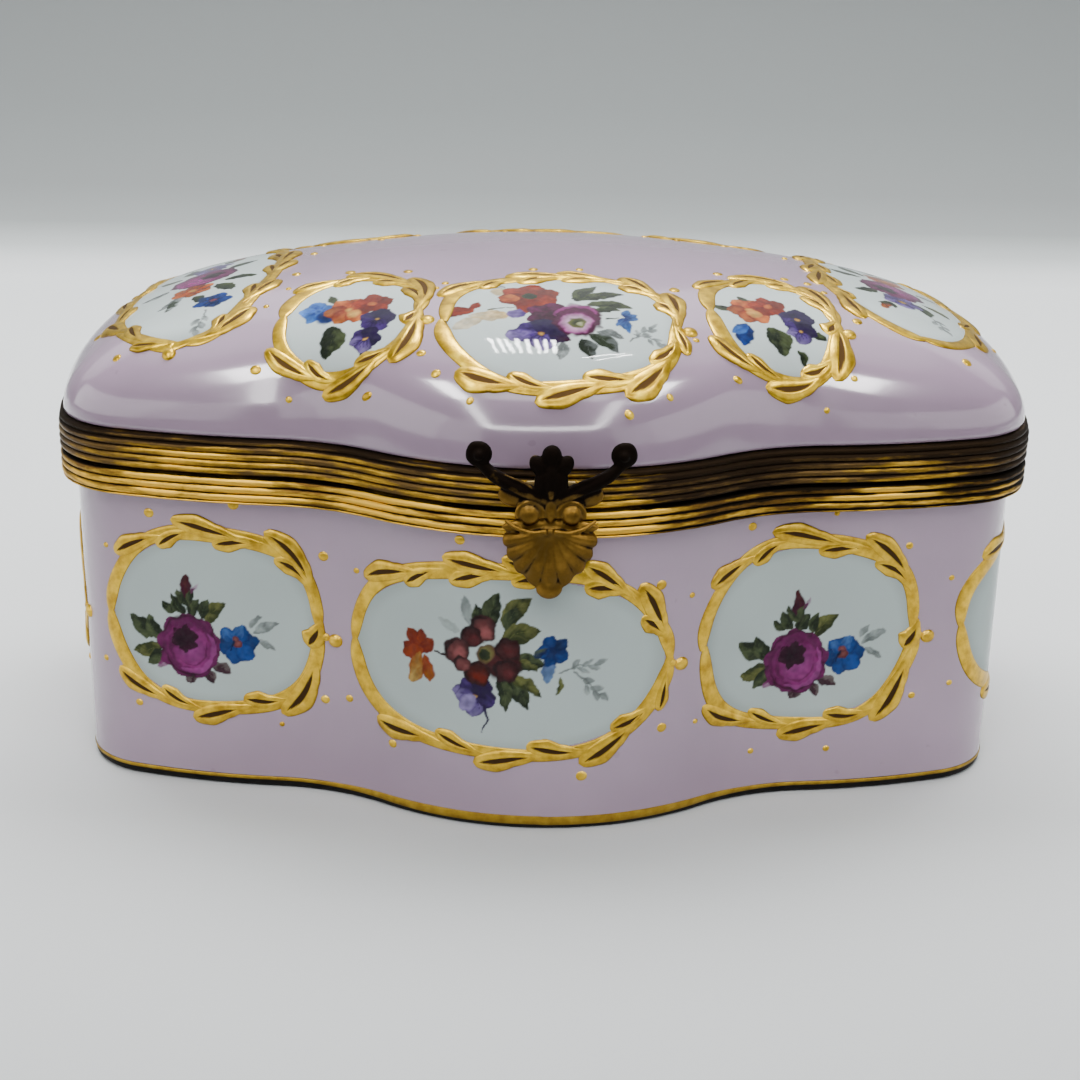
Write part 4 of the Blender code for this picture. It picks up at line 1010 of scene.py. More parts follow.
class Gilding:
    """Collects raised strips and dots on one patch, then makes one piece of them."""

    def __init__(self, patch):
        self.patch = patch
        self.points = []
        self.faces = []
        self.vein = []
        self.count = 0

    def add(self, a, b, lift, vein, rows, columns, wrap=False):
        self.points.append(self.patch.place(a.ravel(), b.ravel(), lift.ravel()))
        self.faces.append(grid_faces(rows, columns, wrap_columns=wrap) + self.count)
        self.vein.append(vein.ravel())
        self.count += a.size

    def strip(self, spine, left, right, height, vein=None):
        """A crowned strip along a spine, with its own half widths to the left and right."""
        along = np.gradient(spine, axis=0)
        along /= np.maximum(np.linalg.norm(along, axis=1, keepdims=True), 1e-9)
        side = np.stack([-along[:, 1], along[:, 0]], axis=1)
        half_row = (0.11, 0.19, 0.27, 0.42, 0.62, 0.82, 0.95, 1.0)
        v = np.array([-share for share in half_row[::-1]] + [0.0] + list(half_row))[None, :]
        width = np.where(v > 0, left[:, None], right[:, None]) * v
        a = spine[:, 0:1] + side[:, 0:1] * width
        b = spine[:, 1:2] + side[:, 1:2] * width
        crown = height[:, None] * np.sqrt(np.maximum(1.0 - v * v, 0.0)) ** 0.8
        vein_and_edge_shade = np.zeros_like(crown)
        if vein is not None:
            reach = 0.29 * vein[:, None]
            vein_and_edge_shade = smooth_step(reach, reach - 0.08, np.abs(v)) * (vein[:, None] > 0.02)
            crown = crown - 0.10 * vein_and_edge_shade
        # painted shade: the outer edges of every strip are drawn brown where the raised gilding meets the
        # glaze
        vein_and_edge_shade = np.maximum(vein_and_edge_shade, 0.65 * smooth_step(0.82, 1.0, np.abs(v)))
        self.add(a, b, crown - 0.02, vein_and_edge_shade, len(spine), v.size)

    def leaf(self, spine, half_width, height, vein_side):
        """A comma-shaped leaf: thin tail, broad round head, a brown vein towards the head."""
        t = np.linspace(0.0, 1.0, len(spine))
        swell = 0.22 + 0.78 * smooth_step(0.0, 0.66, t)
        round_off = np.sqrt(np.clip(1.0 - (np.clip(t - 0.72, 0.0, 1.0) / 0.28) ** 2.0, 0.0, 1.0))
        half = half_width * swell * round_off * smooth_step(-0.02, 0.12, t)
        lobe = 1.0 + 0.16 * np.exp(-((t - 0.72) / 0.09) ** 2) - 0.10 * np.exp(-((t - 0.50) / 0.05) ** 2)
        vein = np.sqrt(np.clip(1.0 - ((t - 0.63) / 0.29) ** 2, 0.0, 1.0))
        left, right = (half * lobe, half) if vein_side > 0 else (half, half * lobe)
        self.strip(spine, left, right, height * (0.55 + 0.45 * swell) * round_off, vein)

    def dot(self, x, y, radius, height):
        rings = np.array([1.0, 0.86, 0.62, 0.32, 0.02])[:, None]
        turn = np.linspace(0.0, 2.0 * math.pi, 14, endpoint=False)[None, :]
        a = x + radius * rings * np.cos(turn)
        b = y + radius * rings * np.sin(turn) * 0.92
        lift = height * np.sqrt(np.maximum(1.0 - rings ** 2, 0.0)) + 0.0 * turn - 0.02
        self.add(a, b, lift, 0.0 * a, 5, 14, True)

    def piece(self, name, body):
        gold = GILT if body == "body" else LID_GILT_SHADED
        made = add_piece(name, np.concatenate(self.points), np.concatenate(self.faces), [gold],
                         values={"vein": np.concatenate(self.vein)})
        finish_piece(made, body, body + "_porcelain")


def garland_path(share, half_a, half_b, upper, phase):
    """A point of the frame round a reserve: share runs from its right end to its left end."""
    turn = math.pi * share * (1.0 if upper else -1.0)
    wave = 1.0 + 0.018 * np.sin(5.0 * turn + phase)
    a = half_a * np.sign(np.cos(turn)) * np.abs(np.cos(turn)) ** 0.88 * wave
    b = half_b * np.sign(np.sin(turn)) * np.abs(np.sin(turn)) ** 0.88 * wave
    return np.stack([a, b], axis=-1)


def garland(name, patch, half_a, half_b, body, seed, fronds, size, bead):
    """Two fronds that grow from the reserve's right end, over it and under it, to its left end."""
    rng = np.random.default_rng(seed)
    gilding = Gilding(patch)
    for upper, leaves in ((True, fronds[0]), (False, fronds[1])):
        phase = rng.uniform(0.0, 6.0)
        share = np.linspace(-0.030, 1.004, 96)
        path_at = lambda where: garland_path(where, half_a, half_b, upper, phase)
        path = path_at(share)
        lengths = np.concatenate([[0.0], np.cumsum(np.linalg.norm(np.diff(path, axis=0), axis=1))])
        tip = np.sqrt(np.clip(1.0 - (np.clip(share - 0.93, 0.0, 1.0) / 0.078) ** 2, 0.0, 1.0))
        ends = smooth_step(-0.032, 0.06, share) ** 0.6 * tip
        stem = size * (0.96 + 0.14 * np.sin(9.0 * share + phase)) * ends
        gilding.strip(path, stem + 0.02, stem + 0.02, 0.24 + 0.0 * share)
        for side, head_share, reach, half_width in leaves:
            head = np.clip(head_share + rng.uniform(-0.012, 0.012), 0.02, 1.0) * lengths[-1]
            tail = max(head - size * reach * rng.uniform(0.94, 1.06), 0.0)
            head = max(head, tail + SHORTEST_LEAF * size)
            t = np.linspace(0.0, 1.0, 30)
            where = np.interp(tail + (head - tail) * t, lengths, share)
            along = path_at(where + 0.004) - path_at(where - 0.004)
            along /= np.linalg.norm(along, axis=1, keepdims=True)
            away = np.stack([along[:, 1], -along[:, 0]], axis=1) * (1.0 if upper else -1.0) * side
            swing = size * (1.85 if side > 0 else 1.55) * (t ** 1.5) - 0.20 * size
            spine = path_at(where) + away * swing[:, None]
            vein_side = -side if upper else side
            gilding.leaf(spine, size * 1.10 * half_width, 0.46 if side > 0 else 0.40, vein_side)
    for degrees in (40.0, 72.0, 108.0, 150.0, 208.0, 242.0, 290.0, 322.0):
        a = math.radians(degrees + rng.uniform(-10.0, 10.0))
        away = size * rng.uniform(3.4, 4.2)
        radius = size * rng.uniform(0.36, 0.72)
        gilding.dot((half_a + away) * math.cos(a), (half_b + away) * math.sin(a), radius, 0.2)
    gilding.dot(half_a + bead[0], bead[1], 0.95 * size, 0.5)
    gilding.dot(half_a + bead[0] - 1.3 * size, bead[1] + 0.3, 0.60 * size, 0.35)
    gilding.piece(name, body)


def decorate_body():
    """Eight reserves round the wall: three in front, three behind and one long one at each end. Each row:
    place along the outline, height, half width, half height, posy, its shift, fronds."""
    places = []
    for side, turn in (("front", 0.0), ("back", 2.0 * QUARTER)):
        places.append((side + "_left", turn - 42.4, 21.9, 12.9, 10.7, rose_posy, (0.0, 0.0), SMALL_FRONDS))
        places.append((side + "_centre", turn - 4.9, 21.5, 19.3, 10.9, berry_posy, (0.0, 0.0), LARGE_FRONDS))
        places.append((side + "_right", turn + 33.9, 21.6, 13.4, 11.3, rose_posy, (2.1, -0.2), SMALL_FRONDS))
    places.append(("right_end", 76.9, 21.4, 22.3, 10.9, end_posy, (0.0, 0.0), LARGE_FRONDS))
    places.append(("left_end", -85.3, 21.4, 21.6, 10.9, end_posy, (0.0, 0.0), LARGE_FRONDS))
    for i, (label, s, z, half_a, half_b, posy, shift, fronds) in enumerate(places):
        patch = WallPatch(s, z)
        reserve("body_reserve_" + label, patch, half_a, half_b, posy, "body", 100 + 10 * i, shift)
        garland("body_garland_" + label, patch, half_a + 0.5, half_b + 0.8, "body", 300 + i, fronds, 1.0,
                (1.9, -1.2))


def decorate_lid():
    """Eight reserves round the dome; the crown stays plain. Each row: place, turn in degrees, half
    width, half height, posy, its shift, fronds."""
    right_trio = lambda c: trio_posy(c, 1)
    places = (
        ("front_centre", 1.3, -25.9, 0.0, 13.5, 11.8, mixed_posy, (0.6, 0.0), LARGE_FRONDS),
        ("front_left", -23.5, -21.9, 17.0, 8.1, 9.5, trio_posy, (0.0, 0.0), SMALL_FRONDS),
        ("front_right", 26.6, -20.3, -22.0, 7.7, 9.9, right_trio, (0.0, 0.0), SMALL_FRONDS),
        ("back_centre", -1.3, 31.8, 0.0, 13.5, 8.5, mixed_posy, (0.6, 0.0), LARGE_FRONDS),
        ("back_right", 23.5, 26.2, 17.0, 8.1, 8.0, trio_posy, (0.0, 0.0), SMALL_FRONDS),
        ("back_left", -26.6, 24.8, -22.0, 7.7, 8.2, right_trio, (0.0, 0.0), SMALL_FRONDS),
        ("left_end", -44.3, 0.3, 0.0, 22.0, 9.9, garden_posy, (0.0, 0.0), LARGE_FRONDS),
        ("right_end", 45.0, 1.5, 0.0, 19.6, 9.9, garden_posy, (0.0, 0.0), LARGE_FRONDS),
    )
    for i, (label, x, y, turn, half_a, half_b, posy, shift, fronds) in enumerate(places):
        patch = DomePatch(x, y, turn)
        reserve("lid_reserve_" + label, patch, half_a, half_b, posy, "lid", 500 + 10 * i, shift)
        garland("lid_garland_" + label, patch, half_a + 0.1, half_b + 0.3, "lid", 700 + i, fronds, 1.02,
                (1.4, -1.6))


def foot_line():
    """The gold line just above the painted shadow along the foot: broad in the middle of the front, thin at
    the flanks."""
    wander = 0.08 * (lattice_noise(STATIONS, 0.0 * STATIONS, 9.0, 5) - 0.5)
    half_turn = 0.5 * PERIMETER
    past_middle = np.mod(STATIONS, half_turn)
    half = 0.26 + 0.34 * smooth_step(34.0, 12.0, np.minimum(past_middle, half_turn - past_middle))
    x, y, nx, ny = plan(STATIONS)
    rows = [np.stack([x + nx * lift, y + ny * lift, FOOT_LINE_Z + half * share + wander], axis=-1)
            for share, lift in ((-1.0, -0.02), (-0.8, 0.05), (0.0, 0.08), (0.8, 0.05), (1.0, -0.02))]
    faces = grid_faces(len(rows), AROUND, wrap_columns=True)
    # the line is toned with the brown drawing colour all along, darkest at its edges as painted shade
    edge = np.repeat((0.9, 0.6, 0.45, 0.6, 0.8), AROUND)
    piece = add_piece("foot_gold_line", np.concatenate(rows), faces, [GILT], values={"vein": edge})
    finish_piece(piece, "body", "body_porcelain")


# ---------------------------------------------------------------- clasp and hinge
def bm_ball(bm, centre, radii, tilt=0.0):
    """A squashed ball, tilted about Y."""
    matrix = Matrix.Translation(Vector(centre)) @ Matrix.Rotation(tilt, 4, "Y")
    matrix = matrix @ Matrix.Diagonal((*radii, 1.0))
    bmesh.ops.create_icosphere(bm, subdivisions=3, radius=1.0, matrix=matrix)


def bm_rings(bm, rings):
    """The side of a round form: quads between closed rings of as many points."""
    for low, high in zip(rings, rings[1:]):
        for k in range(len(low)):
            after = (k + 1) % len(low)
            bm.faces.new((low[k], low[after], high[after], high[k]))


def bm_tube(bm, points, radii, flat=1.0):
    """A closed tube through the points; flat squashes it along Y."""
    points = [Vector(p) for p in points]
    turns = [2.0 * math.pi * k / TUBE_SIDES for k in range(TUBE_SIDES)]
    rings = []
    for i, (point, radius) in enumerate(zip(points, radii)):
        along = points[min(i + 1, len(points) - 1)] - points[max(i - 1, 0)]
        along.normalize()
        out = Vector((0.0, -1.0, 0.0))
        side = along.cross(out).normalized()
        rings.append([bm.verts.new(point + side * radius * math.cos(a) + out * radius * flat * math.sin(a))
                      for a in turns])
    bm_rings(bm, rings)
    bm.faces.new(rings[0][::-1])
    bm.faces.new(rings[-1])


def smooth_curve(points):
    """Catmull-Rom points through the given ones."""
    p = [np.asarray(q, dtype=float) for q in points]
    p = [2 * p[0] - p[1]] + p + [2 * p[-1] - p[-2]]
    out = []
    for a, b, c, d in zip(p, p[1:], p[2:], p[3:]):
        for t in np.linspace(0.0, 1.0, CURVE_STEPS, endpoint=False):
            bend = (2 * a - 5 * b + 4 * c - d) * t * t
            out.append(0.5 * ((2 * b) + (c - a) * t + bend + (3 * b - a - 3 * c + d) * t ** 3))
    out.append(p[-2])
    return out


def scallop(bm):
    """The shell: ribs that fan from under the ridge to a lobed edge, over a tongue below."""
    ribs, radial, lobes = 108, 14, 9
    rows = []
    for i in range(ribs + 1):
        share = i / ribs
        turn = math.radians(188.0 + 164.0 * share)
        rib = abs(math.sin(math.pi * lobes * share))
        bulge = math.sin(math.pi * share)
        tongue = math.exp(-((share - 0.5) / 0.075) ** 2)
        reach = 5.5 + 0.45 * rib ** 0.7 + 1.05 * bulge ** 3 + 1.15 * tongue
        reach -= 0.5 * (1.0 - bulge)
        row = []
        for j in range(radial + 1):
            t = j / radial
            crown = 0.75 * math.sqrt(max(1.0 - t * t, 0.0)) + 0.55 * math.sin(math.pi * min(t, 0.9))
            crown += 0.30 * rib ** 0.8 * t
            row.append((reach * t * math.cos(turn), SHELL_ROOT_Z + reach * t * math.sin(turn), crown))
        rows.append(row)
    back, front = -(MOUNT_FACE + 1.62), -(MOUNT_FACE + 1.95)
    fronts = [[bm.verts.new((x, front - crown, z)) for x, z, crown in row] for row in rows]
    backs = [[bm.verts.new((x, back, z)) for x, z, crown in row] for row in rows]
    for i in range(ribs):
        for j in range(radial):
            bm.faces.new((fronts[i][j], fronts[i][j + 1], fronts[i + 1][j + 1], fronts[i + 1][j]))
            bm.faces.new((backs[i][j], backs[i + 1][j], backs[i + 1][j + 1], backs[i][j + 1]))
        bm.faces.new((fronts[i][-1], backs[i][-1], backs[i + 1][-1], fronts[i + 1][-1]))
    for i in (0, ribs):
        for j in range(radial):
            bm.faces.new((fronts[i][j], backs[i][j], backs[i][j + 1], fronts[i][j + 1]))


def clasp_ornament():
    """The casting, sculpted from simple forms that a voxel remesh fuses. Places across and up are
    real ones, before the whole is lifted; places in depth are counted from the casting's middle."""
    middle = -(MOUNT_FACE + 1.9)
    bm = bmesh.new()
    scallop(bm)

    def balls(side, rows):
        for x, depth, z, radii in rows:
            bm_ball(bm, (side * x, middle + depth, z), radii)

    def tube(side, rows, radii, flat=0.9):
        bm_tube(bm, smooth_curve([(side * x, middle + depth, z) for x, depth, z in rows]), radii, flat)

    balls(1.0, ((0.0, -0.15, 35.6, (4.3, 0.75, 3.3)), (0.0, 0.1, 38.9, (5.5, 0.62, 1.1))))
    for side in (-1.0, 1.0):
        # the shell's ridge, a round boss over it in a ring, and the web behind
        tube(side, ((0.4, -1.0, 38.75), (2.0, -1.05, 38.6), (3.8, -0.85, 39.1), (5.1, -0.4, 39.9)),
             np.linspace(0.34, 0.24, 25))
        balls(side, ((BOSS_X, -0.55, BOSS_Z, (1.15, 0.75, 1.15)),))
        ring = [(side * BOSS_X + 1.45 * math.cos(a) * side, middle - 0.5, BOSS_Z + 1.45 * math.sin(a))
                for a in np.linspace(-0.4, 3.4, 14)]
        bm_tube(bm, ring, np.linspace(0.22, 0.36, 14))
        balls(side, ((3.6, 0.35, 42.6, (2.3, 0.75, 1.5)),))
        # the scrolled arm, a strand along it and the volute at its end
        tube(side, ((0.9, -0.1, 42.1), (2.6, -0.15, 43.0), (4.6, 0.05, 43.9), (6.4, 0.25, 44.9),
                    (7.6, 0.35, 46.0), (8.9, 0.25, 46.9), (8.6, 0.15, 48.2), (7.4, 0.15, 48.2)),
             np.interp(np.linspace(0, 1, 57), (0.0, 0.35, 0.7, 1.0), (0.75, 0.85, 0.55, 0.5)), 0.85)
        tube(side, ((1.2, -0.5, 42.9), (3.0, -0.5, 44.1), (5.0, -0.25, 44.9), (6.6, -0.05, 45.6)),
             np.linspace(0.34, 0.16, 25))
        balls(side, ((VOLUTE_X, 0.2, VOLUTE_Z, (1.5, 0.62, 1.5)),
                     (VOLUTE_X, -0.3, VOLUTE_Z, (0.62, 0.5, 0.62))))
        # the palmette's side lobe and the swelling under it
        bm_ball(bm, (side * 1.45, middle - 0.45, 46.2), (0.95, 0.60, 1.35), side * 0.5)
        balls(side, ((0.95, -0.45, 44.4, (0.95, 0.6, 1.7)),))
    # the palmette's top lobe and midrib, the neck, the web behind it and the tongue
    balls(1.0, ((0.0, -0.5, 47.3, (1.15, 0.65, 1.35)), (0.0, -0.62, 44.6, (0.75, 0.62, 2.4)),
                (0.0, -0.35, 41.2, (0.7, 0.6, 1.7)), (0.0, -0.2, 42.6, (2.6, 0.6, 1.6)),
                (0.0, -0.35, 31.9, (1.55, 0.65, 1.45))))
    mesh = bpy.data.meshes.new("clasp_ornament_cast")
    bmesh.ops.translate(bm, vec=(0.0, 0.0, CASTING_LIFT), verts=bm.verts)
    bmesh.ops.scale(bm, vec=(MM, MM, MM), verts=bm.verts)
    bm.to_mesh(mesh)
    bm.free()
    piece = new_object("clasp_ornament_cast", mesh)
    remesh = piece.modifiers.new("fuse", "REMESH")
    remesh.mode = "VOXEL"
    remesh.voxel_size = CASTING_VOXEL * MM
    soften = piece.modifiers.new("soften", "SMOOTH")
    soften.factor = 0.5
    soften.iterations = 3
    bake_modifiers(piece)
    add_groove_from_depth(piece, 0.14)
    piece.data.materials.append(CLASP_BRASS)
    piece.data.shade_smooth()
    finish_piece(piece, "lid", "clasp_ornament", "clasp_ornament")


def bake_modifiers(piece):
    graph = bpy.context.evaluated_depsgraph_get()
    mesh = bpy.data.meshes.new_from_object(piece.evaluated_get(graph))
    piece.modifiers.clear()
    piece.data = mesh


def add_groove_from_depth(piece, tarnish=0.0):
    """Mark hollows: how far each point lies under the average of its neighbourhood."""
    mesh = piece.data
    count = len(mesh.vertices)
    co = np.empty(count * 3)
    mesh.vertices.foreach_get("co", co)
    normal = np.empty(count * 3)
    mesh.vertices.foreach_get("normal", normal)
    co, normal = co.reshape(-1, 3), normal.reshape(-1, 3)
    edges = np.empty(len(mesh.edges) * 2, dtype=np.int64)
    mesh.edges.foreach_get("vertices", edges)
    edges = edges.reshape(-1, 2)
    degree = np.bincount(edges.ravel(), minlength=count)[:, None]
    mean = co.copy()
    for _ in range(14):
        total = np.zeros_like(mean)
        np.add.at(total, edges[:, 0], mean[edges[:, 1]])
        np.add.at(total, edges[:, 1], mean[edges[:, 0]])
        mean = 0.5 * mean + 0.5 * total / np.maximum(degree, 1)
    depth = ((mean - co) * normal).sum(axis=1) / MM
    depth += tarnish * smooth_step(42.0, 46.0, co[:, 2] / MM)
    layer = mesh.attributes.new("groove", "FLOAT", "POINT")
    layer.data.foreach_set("value", np.clip(0.45 + 6.0 * depth, 0.0, 1.0).astype(np.float32))


def joined_solid(name, bm, finish, bevel, body, slot, node):
    """A small machined piece with softened edges."""
    bmesh.ops.recalc_face_normals(bm, faces=bm.faces)
    bmesh.ops.scale(bm, vec=(MM, MM, MM), verts=bm.verts)
    mesh = bpy.data.meshes.new(name)
    bm.to_mesh(mesh)
    bm.free()
    piece = new_object(name, mesh)
    soften = piece.modifiers.new("edges", "BEVEL")
    soften.width = bevel * MM
    soften.segments = 3
    soften.limit_method = "ANGLE"
    bake_modifiers(piece)
    add_groove_from_depth(piece)
    piece.data.materials.append(finish)
    piece.data.shade_smooth()
    piece.data.set_sharp_from_angle(angle=math.radians(50.0))
    finish_piece(piece, body, slot, node)


def turned_rings(bm, stations, sides, origin, axis, capped=True):
    """A turned form from stations of (place along the axis, radius), with flat ends if capped."""
    rings = []
    for place, radius in stations:
        ring = []
        for i in range(sides):
            turn = 2.0 * math.pi * i / sides
            u, v = radius * math.cos(turn), radius * math.sin(turn)
            point = (place, u, v) if axis == "x" else (u, place, v)
            ring.append(bm.verts.new([a + b for a, b in zip(origin, point)]))
        rings.append(ring)
    bm_rings(bm, rings if capped else rings + rings[:1])
    if capped:
        bm.faces.new(rings[0])
        bm.faces.new(rings[-1])


def catch_stud():
    """A stem with a domed head."""
    centre = 0.5 * (STUD_LOW + STUD_HIGH)
    front, back = STUD_LOW[1], STUD_HIGH[1]
    bm = bmesh.new()
    stations = [(back, 0.7), (back - 0.8, 0.7), (back - 0.82, 1.35), (back - 0.95, 1.4), (back - 1.08, 1.3),
                (front + 0.04, 0.9), (front, 0.4)]
    turned_rings(bm, stations, 32, (centre[0], 0.0, centre[2]), "y")
    joined_solid("catch_stud_turned", bm, SPRING_BRASS, 0.04, "body", "catch_stud", "catch_stud")


def clasp_spring():
    """The forked strip: one flat outline with chamfered corners and a round-topped slot."""
    low, high = SPRING_LOW, SPRING_HIGH
    half, slot, chamfer = high[0], 1.0, 0.4
    arch = [(slot * math.cos(a), SPRING_SLOT_TOP - slot + slot * math.sin(a))
            for a in np.linspace(0.0, math.pi, 9)]
    tine = [(half - chamfer, low[2]), (slot + 0.5, low[2]), (slot, low[2] + 0.8)]
    shape = [(half, low[2] + chamfer), (half, high[2] - chamfer), (half - chamfer, high[2]),
             (-half + chamfer, high[2]), (-half, high[2] - chamfer), (-half, low[2] + chamfer)]
    shape += [(-x, z) for x, z in tine] + arch[::-1] + tine[::-1]
    bm = bmesh.new()
    layers = [[bm.verts.new((x, y, z)) for x, z in shape] for y in (low[1], high[1])]
    bm_rings(bm, layers)
    bm.faces.new(layers[0])
    bm.faces.new(layers[1])
    joined_solid("clasp_spring_strip", bm, SPRING_BRASS, 0.07, "lid", "clasp_spring", "clasp_spring")


def hinge_knuckle(node, body):
    """A bored barrel with its leaf along the mount."""
    low, high = box_mm(node)
    axis_y = 0.5 * (PIN_LOW[1] + PIN_HIGH[1])
    axis_z = 0.5 * (PIN_LOW[2] + PIN_HIGH[2])
    radius = high[1] - axis_y
    up = 1.0 if high[2] - axis_z > 2.0 else -1.0
    tip_z = high[2] if up > 0 else low[2]
    bm = bmesh.new()
    start, end, chamfer, bore = low[0], high[0], 0.12, 0.85
    stations = [(start, bore), (start, radius - chamfer), (start + chamfer, radius), (end - chamfer, radius),
                (end, radius - chamfer), (end, bore)]
    turned_rings(bm, stations, 40, (0.0, axis_y, axis_z), "x", capped=False)
    face_radius = PLAN_ARCS[0][0] + MOUNT_PROUD
    stack = []
    for share in np.linspace(0.0, 1.0, 9):
        x = start + (end - start) * float(share)
        inner = axis_y - radius - (face_radius - math.sqrt(face_radius ** 2 - x * x))
        outer = axis_y - radius + LEAF_THICKNESS
        leaf = ((inner, axis_z + up * 0.38), (outer, axis_z + up * 0.38), (outer, tip_z - up * 0.3),
                (outer - 0.3, tip_z), (inner, tip_z))
        stack.append([bm.verts.new((x, y, z)) for y, z in leaf])
    bm_rings(bm, stack)
    bm.faces.new(stack[0])
    bm.faces.new(stack[-1])
    joined_solid(node + "_barrel", bm, HINGE_BRASS, 0.08, body, "hinge", node)


def hinge_pin():
    """A rod with a peened head at each end."""
    centre = 0.5 * (PIN_LOW + PIN_HIGH)
    head = ((0.0, 0.25), (0.08, 0.62), (0.25, 0.95), (0.42, 1.1), (0.5, 1.05), (0.5, 0.65))
    stations = [(-PIN_HIGH[0] + depth, radius) for depth, radius in head]
    stations += [(-place, radius) for place, radius in stations[::-1]]
    bm = bmesh.new()
    turned_rings(bm, stations, 28, (0.0, centre[1], centre[2]), "x")
    joined_solid("hinge_pin_peened", bm, HINGE_BRASS, 0.03, "body", "hinge_pin", "hinge_pin")


# ---------------------------------------------------------------- stage, in metres
BOX_MIDDLE = Vector((0.0, -0.03, 0.053))
LAMP_RADIANCE = 200.0


def area_light(name, size, radiance, matt=False):
    """A flat light that shows only in reflections or, if matt, only lights the surfaces."""
    light = bpy.data.lights.new(name, "AREA")
    light.shape = "RECTANGLE"
    light.size, light.size_y = size
    light.energy = radiance * math.pi * size[0] * size[1]
    holder = new_object(name, light)
    holder.visible_diffuse = matt
    holder.visible_glossy = not matt
    return holder


def panel(name, location, target, size, radiance, matt=False):
    """A light at a place, facing its target."""
    holder = area_light(name, size, radiance, matt)
    holder.location = location
    holder.rotation_euler = (Vector(target) - Vector(location)).to_track_quat("-Z", "Y").to_euler()
    return holder


def strip(name, start, end, width, radiance):
    """A long narrow light from one place to another, facing the box."""
    start, end = Vector(start), Vector(end)
    middle = 0.5 * (start + end)
    long_way = (end - start).normalized()
    back = middle - BOX_MIDDLE
    back = (back - back.dot(long_way) * long_way).normalized()
    holder = area_light(name, ((end - start).length, width), radiance)
    turn = Matrix((long_way, back.cross(long_way), back)).transposed().to_4x4()
    holder.matrix_world = Matrix.Translation(middle) @ turn


def stage_floor():
    """A pale floor that curves up into a wall, painted darker as it rises: painted shade on the backdrop."""
    n = Nodes("stage_paper_painted_shade")
    place = n.coordinates()
    height = n.add("ShaderNodeSeparateXYZ")
    n.link(place, height.inputs[0])
    mottle = n.times(n.noise(place, 4.0, 2.0), 0.001)
    level = n.plus(height.outputs["Z"], mottle)
    # painted shade: the paper darkens from the floor up the curve and the wall
    tone = n.ramp(level, ((0.0012, (0.905, 0.920, 0.928)), (0.0032, (0.570, 0.600, 0.600)),
                          (0.0065, (0.340, 0.358, 0.357)), (0.015, (0.265, 0.280, 0.280)),
                          (0.036, (0.225, 0.240, 0.240)), (0.070, (0.205, 0.219, 0.219))))
    paper = n.set(Base_Color=tone, Roughness=0.8, Specular_IOR_Level=0.2)
    wall_y, wall_top, curve, width = 0.40, 1.2, 0.13, 1.6
    profile = [(-0.145, -0.02), (-0.14, 0.0), (0.1, 0.0), (wall_y - curve, 0.0)]
    profile += [(wall_y - curve + curve * math.sin(a), curve - curve * math.cos(a))
                for a in np.linspace(0.12, math.pi / 2, 12)]
    profile += [(wall_y, wall_top)]
    points = [(x, y, z) for y, z in profile for x in (-width, width)]
    add_piece("floor", np.array(points) / MM, grid_faces(len(profile), 2), [paper])


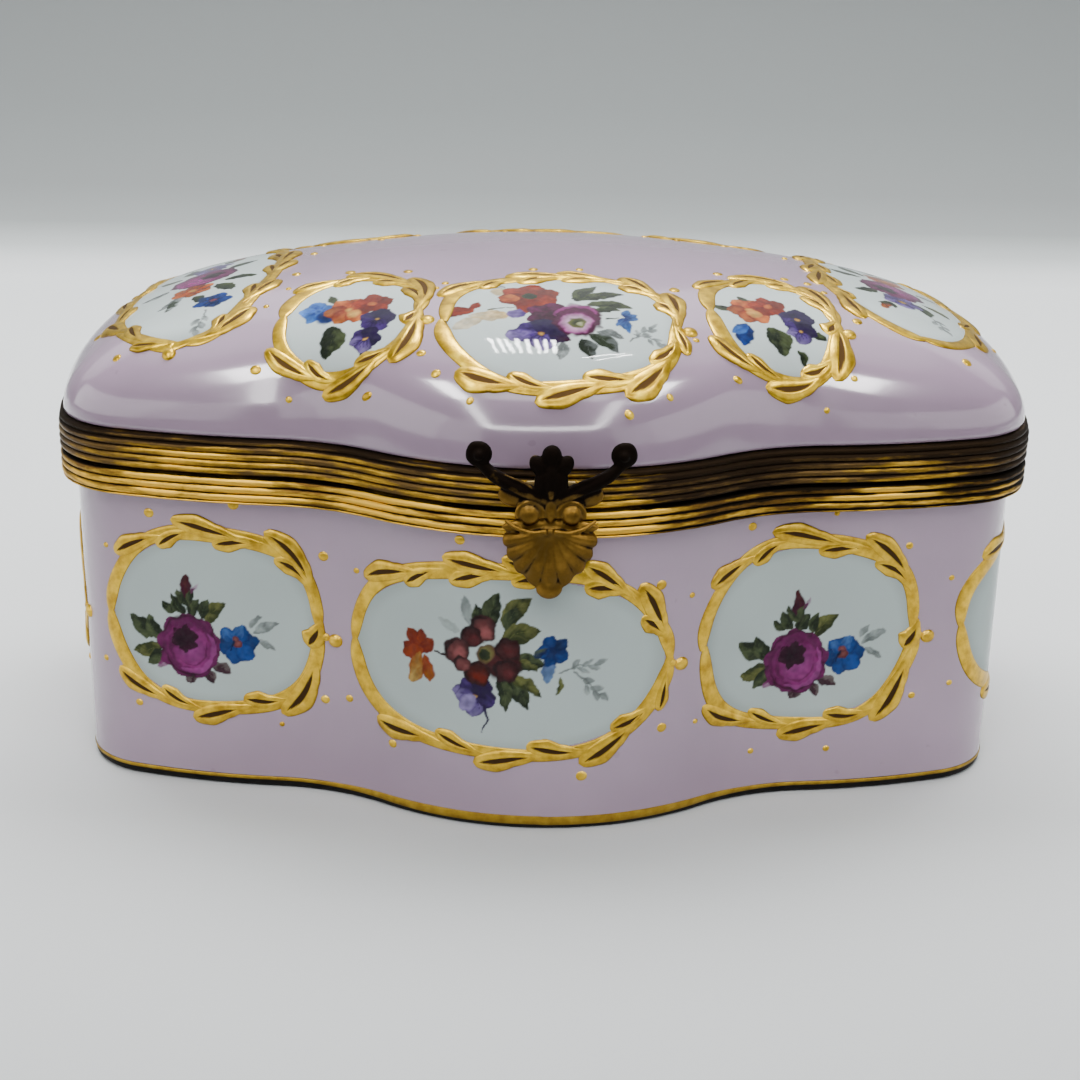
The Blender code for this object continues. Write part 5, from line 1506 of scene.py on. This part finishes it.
def lights():
    # two broad soft lights for the matt tones; all the others are for the reflections
    ceiling = panel("ceiling", (0.0, 0.27, 0.60), (0.0, 0.12, 0.0), (0.90, 0.46), 8.6, matt=True)
    ceiling.data.color = (0.99, 1.0, 1.0)
    panel("sheet", (0.0, -0.56, 0.64), (0.0, -0.22, 0.0), (0.80, 0.60), 2.75, matt=True)
    panel("overhead", (0.0, -0.24, 0.62), (0.0, -0.12, 0.0), (0.40, 0.26), 5.0)
    panel("overhead_back", (0.0, 0.20, 0.62), (0.0, 0.16, 0.0), (0.80, 0.36), 0.5)
    panel("far_wall", (0.0, 0.37, 0.32), (0.0, 0.0, 0.06), (1.30, 0.34), 0.95)
    # two long boxes of light, over the left and the right of the front
    strip("window_left", (-0.292, -0.185, 0.62), (-0.316, -0.430, 0.62), 0.070, 42.0)
    strip("window_right", (0.335, -0.160, 0.62), (0.375, -0.430, 0.62), 0.080, 38.0)
    # two stands and the bar between them draw a bright outline in the middle of the lid's front
    strip("bar", (-0.283, -0.707, 0.341), (0.247, -0.703, 0.380), 0.050, 17.0)
    strip("stand_left", (-0.283, -0.707, 0.341), (-0.312, -0.453, 0.639), 0.050, 19.0)
    strip("stand_right", (0.247, -0.703, 0.380), (0.274, -0.428, 0.673), 0.050, 15.0)
    # pale sides of the room, mirrored along the lid's shoulder
    strip("side_left", (-1.00, 0.40, 0.27), (-0.62, -0.75, 0.27), 0.46, 2.5)
    strip("side_left_near", (-0.62, -0.75, 0.27), (-0.40, -0.90, 0.27), 0.40, 1.5)
    strip("side_right", (1.00, 0.40, 0.24), (0.62, -0.75, 0.24), 0.42, 1.9)
    strip("side_right_near", (0.62, -0.75, 0.24), (0.40, -0.90, 0.24), 0.36, 1.2)
    # a row of small lamps
    for i in range(8):
        x = -0.0515 + 0.00975 * i
        panel("lamp_%d" % i, (x, 0.160, 0.5), (x, 0.158, 0.0), (0.0045, 0.105), LAMP_RADIANCE)
    panel("lamp_8", (0.0776, 0.095, 0.5), (0.07, 0.09, 0.0), (0.0055, 0.060), LAMP_RADIANCE)
    panel("lamp_9", (0.0920, 0.082, 0.5), (0.09, 0.08, 0.0), (0.0055, 0.060), LAMP_RADIANCE)
    world = bpy.data.worlds.new("room")
    bpy.context.scene.world = world
    world.use_nodes = True
    background = world.node_tree.nodes["Background"]
    background.inputs["Color"].default_value = (0.80, 0.90, 0.95, 1.0)
    background.inputs["Strength"].default_value = 0.10


def camera():
    """The view is 20 degrees down; it is turned by a degree to the box and leans a little."""
    lens = bpy.data.cameras.new("camera")
    lens.sensor_width = 36.0
    lens.lens = 63.33
    lens.clip_start = 0.01
    viewer = new_object("camera", lens)
    away = 0.2030 + HALF_DEPTH * MM
    turn = lambda degrees, axis: Matrix.Rotation(math.radians(degrees), 4, axis)
    viewer.matrix_world = (turn(-1.37, "Z") @ Matrix.Translation((-0.0001, -away, 0.1106)) @ turn(70.1, "X")
                           @ turn(1.12, "Z"))
    bpy.context.scene.camera = viewer


# ---------------------------------------------------------------- build
body_porcelain()
lid_porcelain()
mount("body_mount_reeded", "body_mount", "body", BODY_MOUNT_HIGH[2], BODY_MOUNT_LOW[2], 38.4, 3, BODY_BRASS)
mount("lid_mount_reeded", "lid_mount", "lid", LID_MOUNT_LOW[2], LID_MOUNT_HIGH[2], 44.0, 4, LID_BRASS)
decorate_body()
decorate_lid()
foot_line()
clasp_ornament()
clasp_spring()
catch_stud()
for knuckle_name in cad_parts:
    if "knuckle" in knuckle_name:
        hinge_knuckle(knuckle_name, "lid" if "lid" in knuckle_name else "body")
hinge_pin()
for cement_name in ("body_cement", "lid_cement"):
    cement_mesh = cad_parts[cement_name].data
    cement_mesh.materials.clear()
    cement_mesh.materials.append(CEMENT)
stage_floor()
lights()
camera()
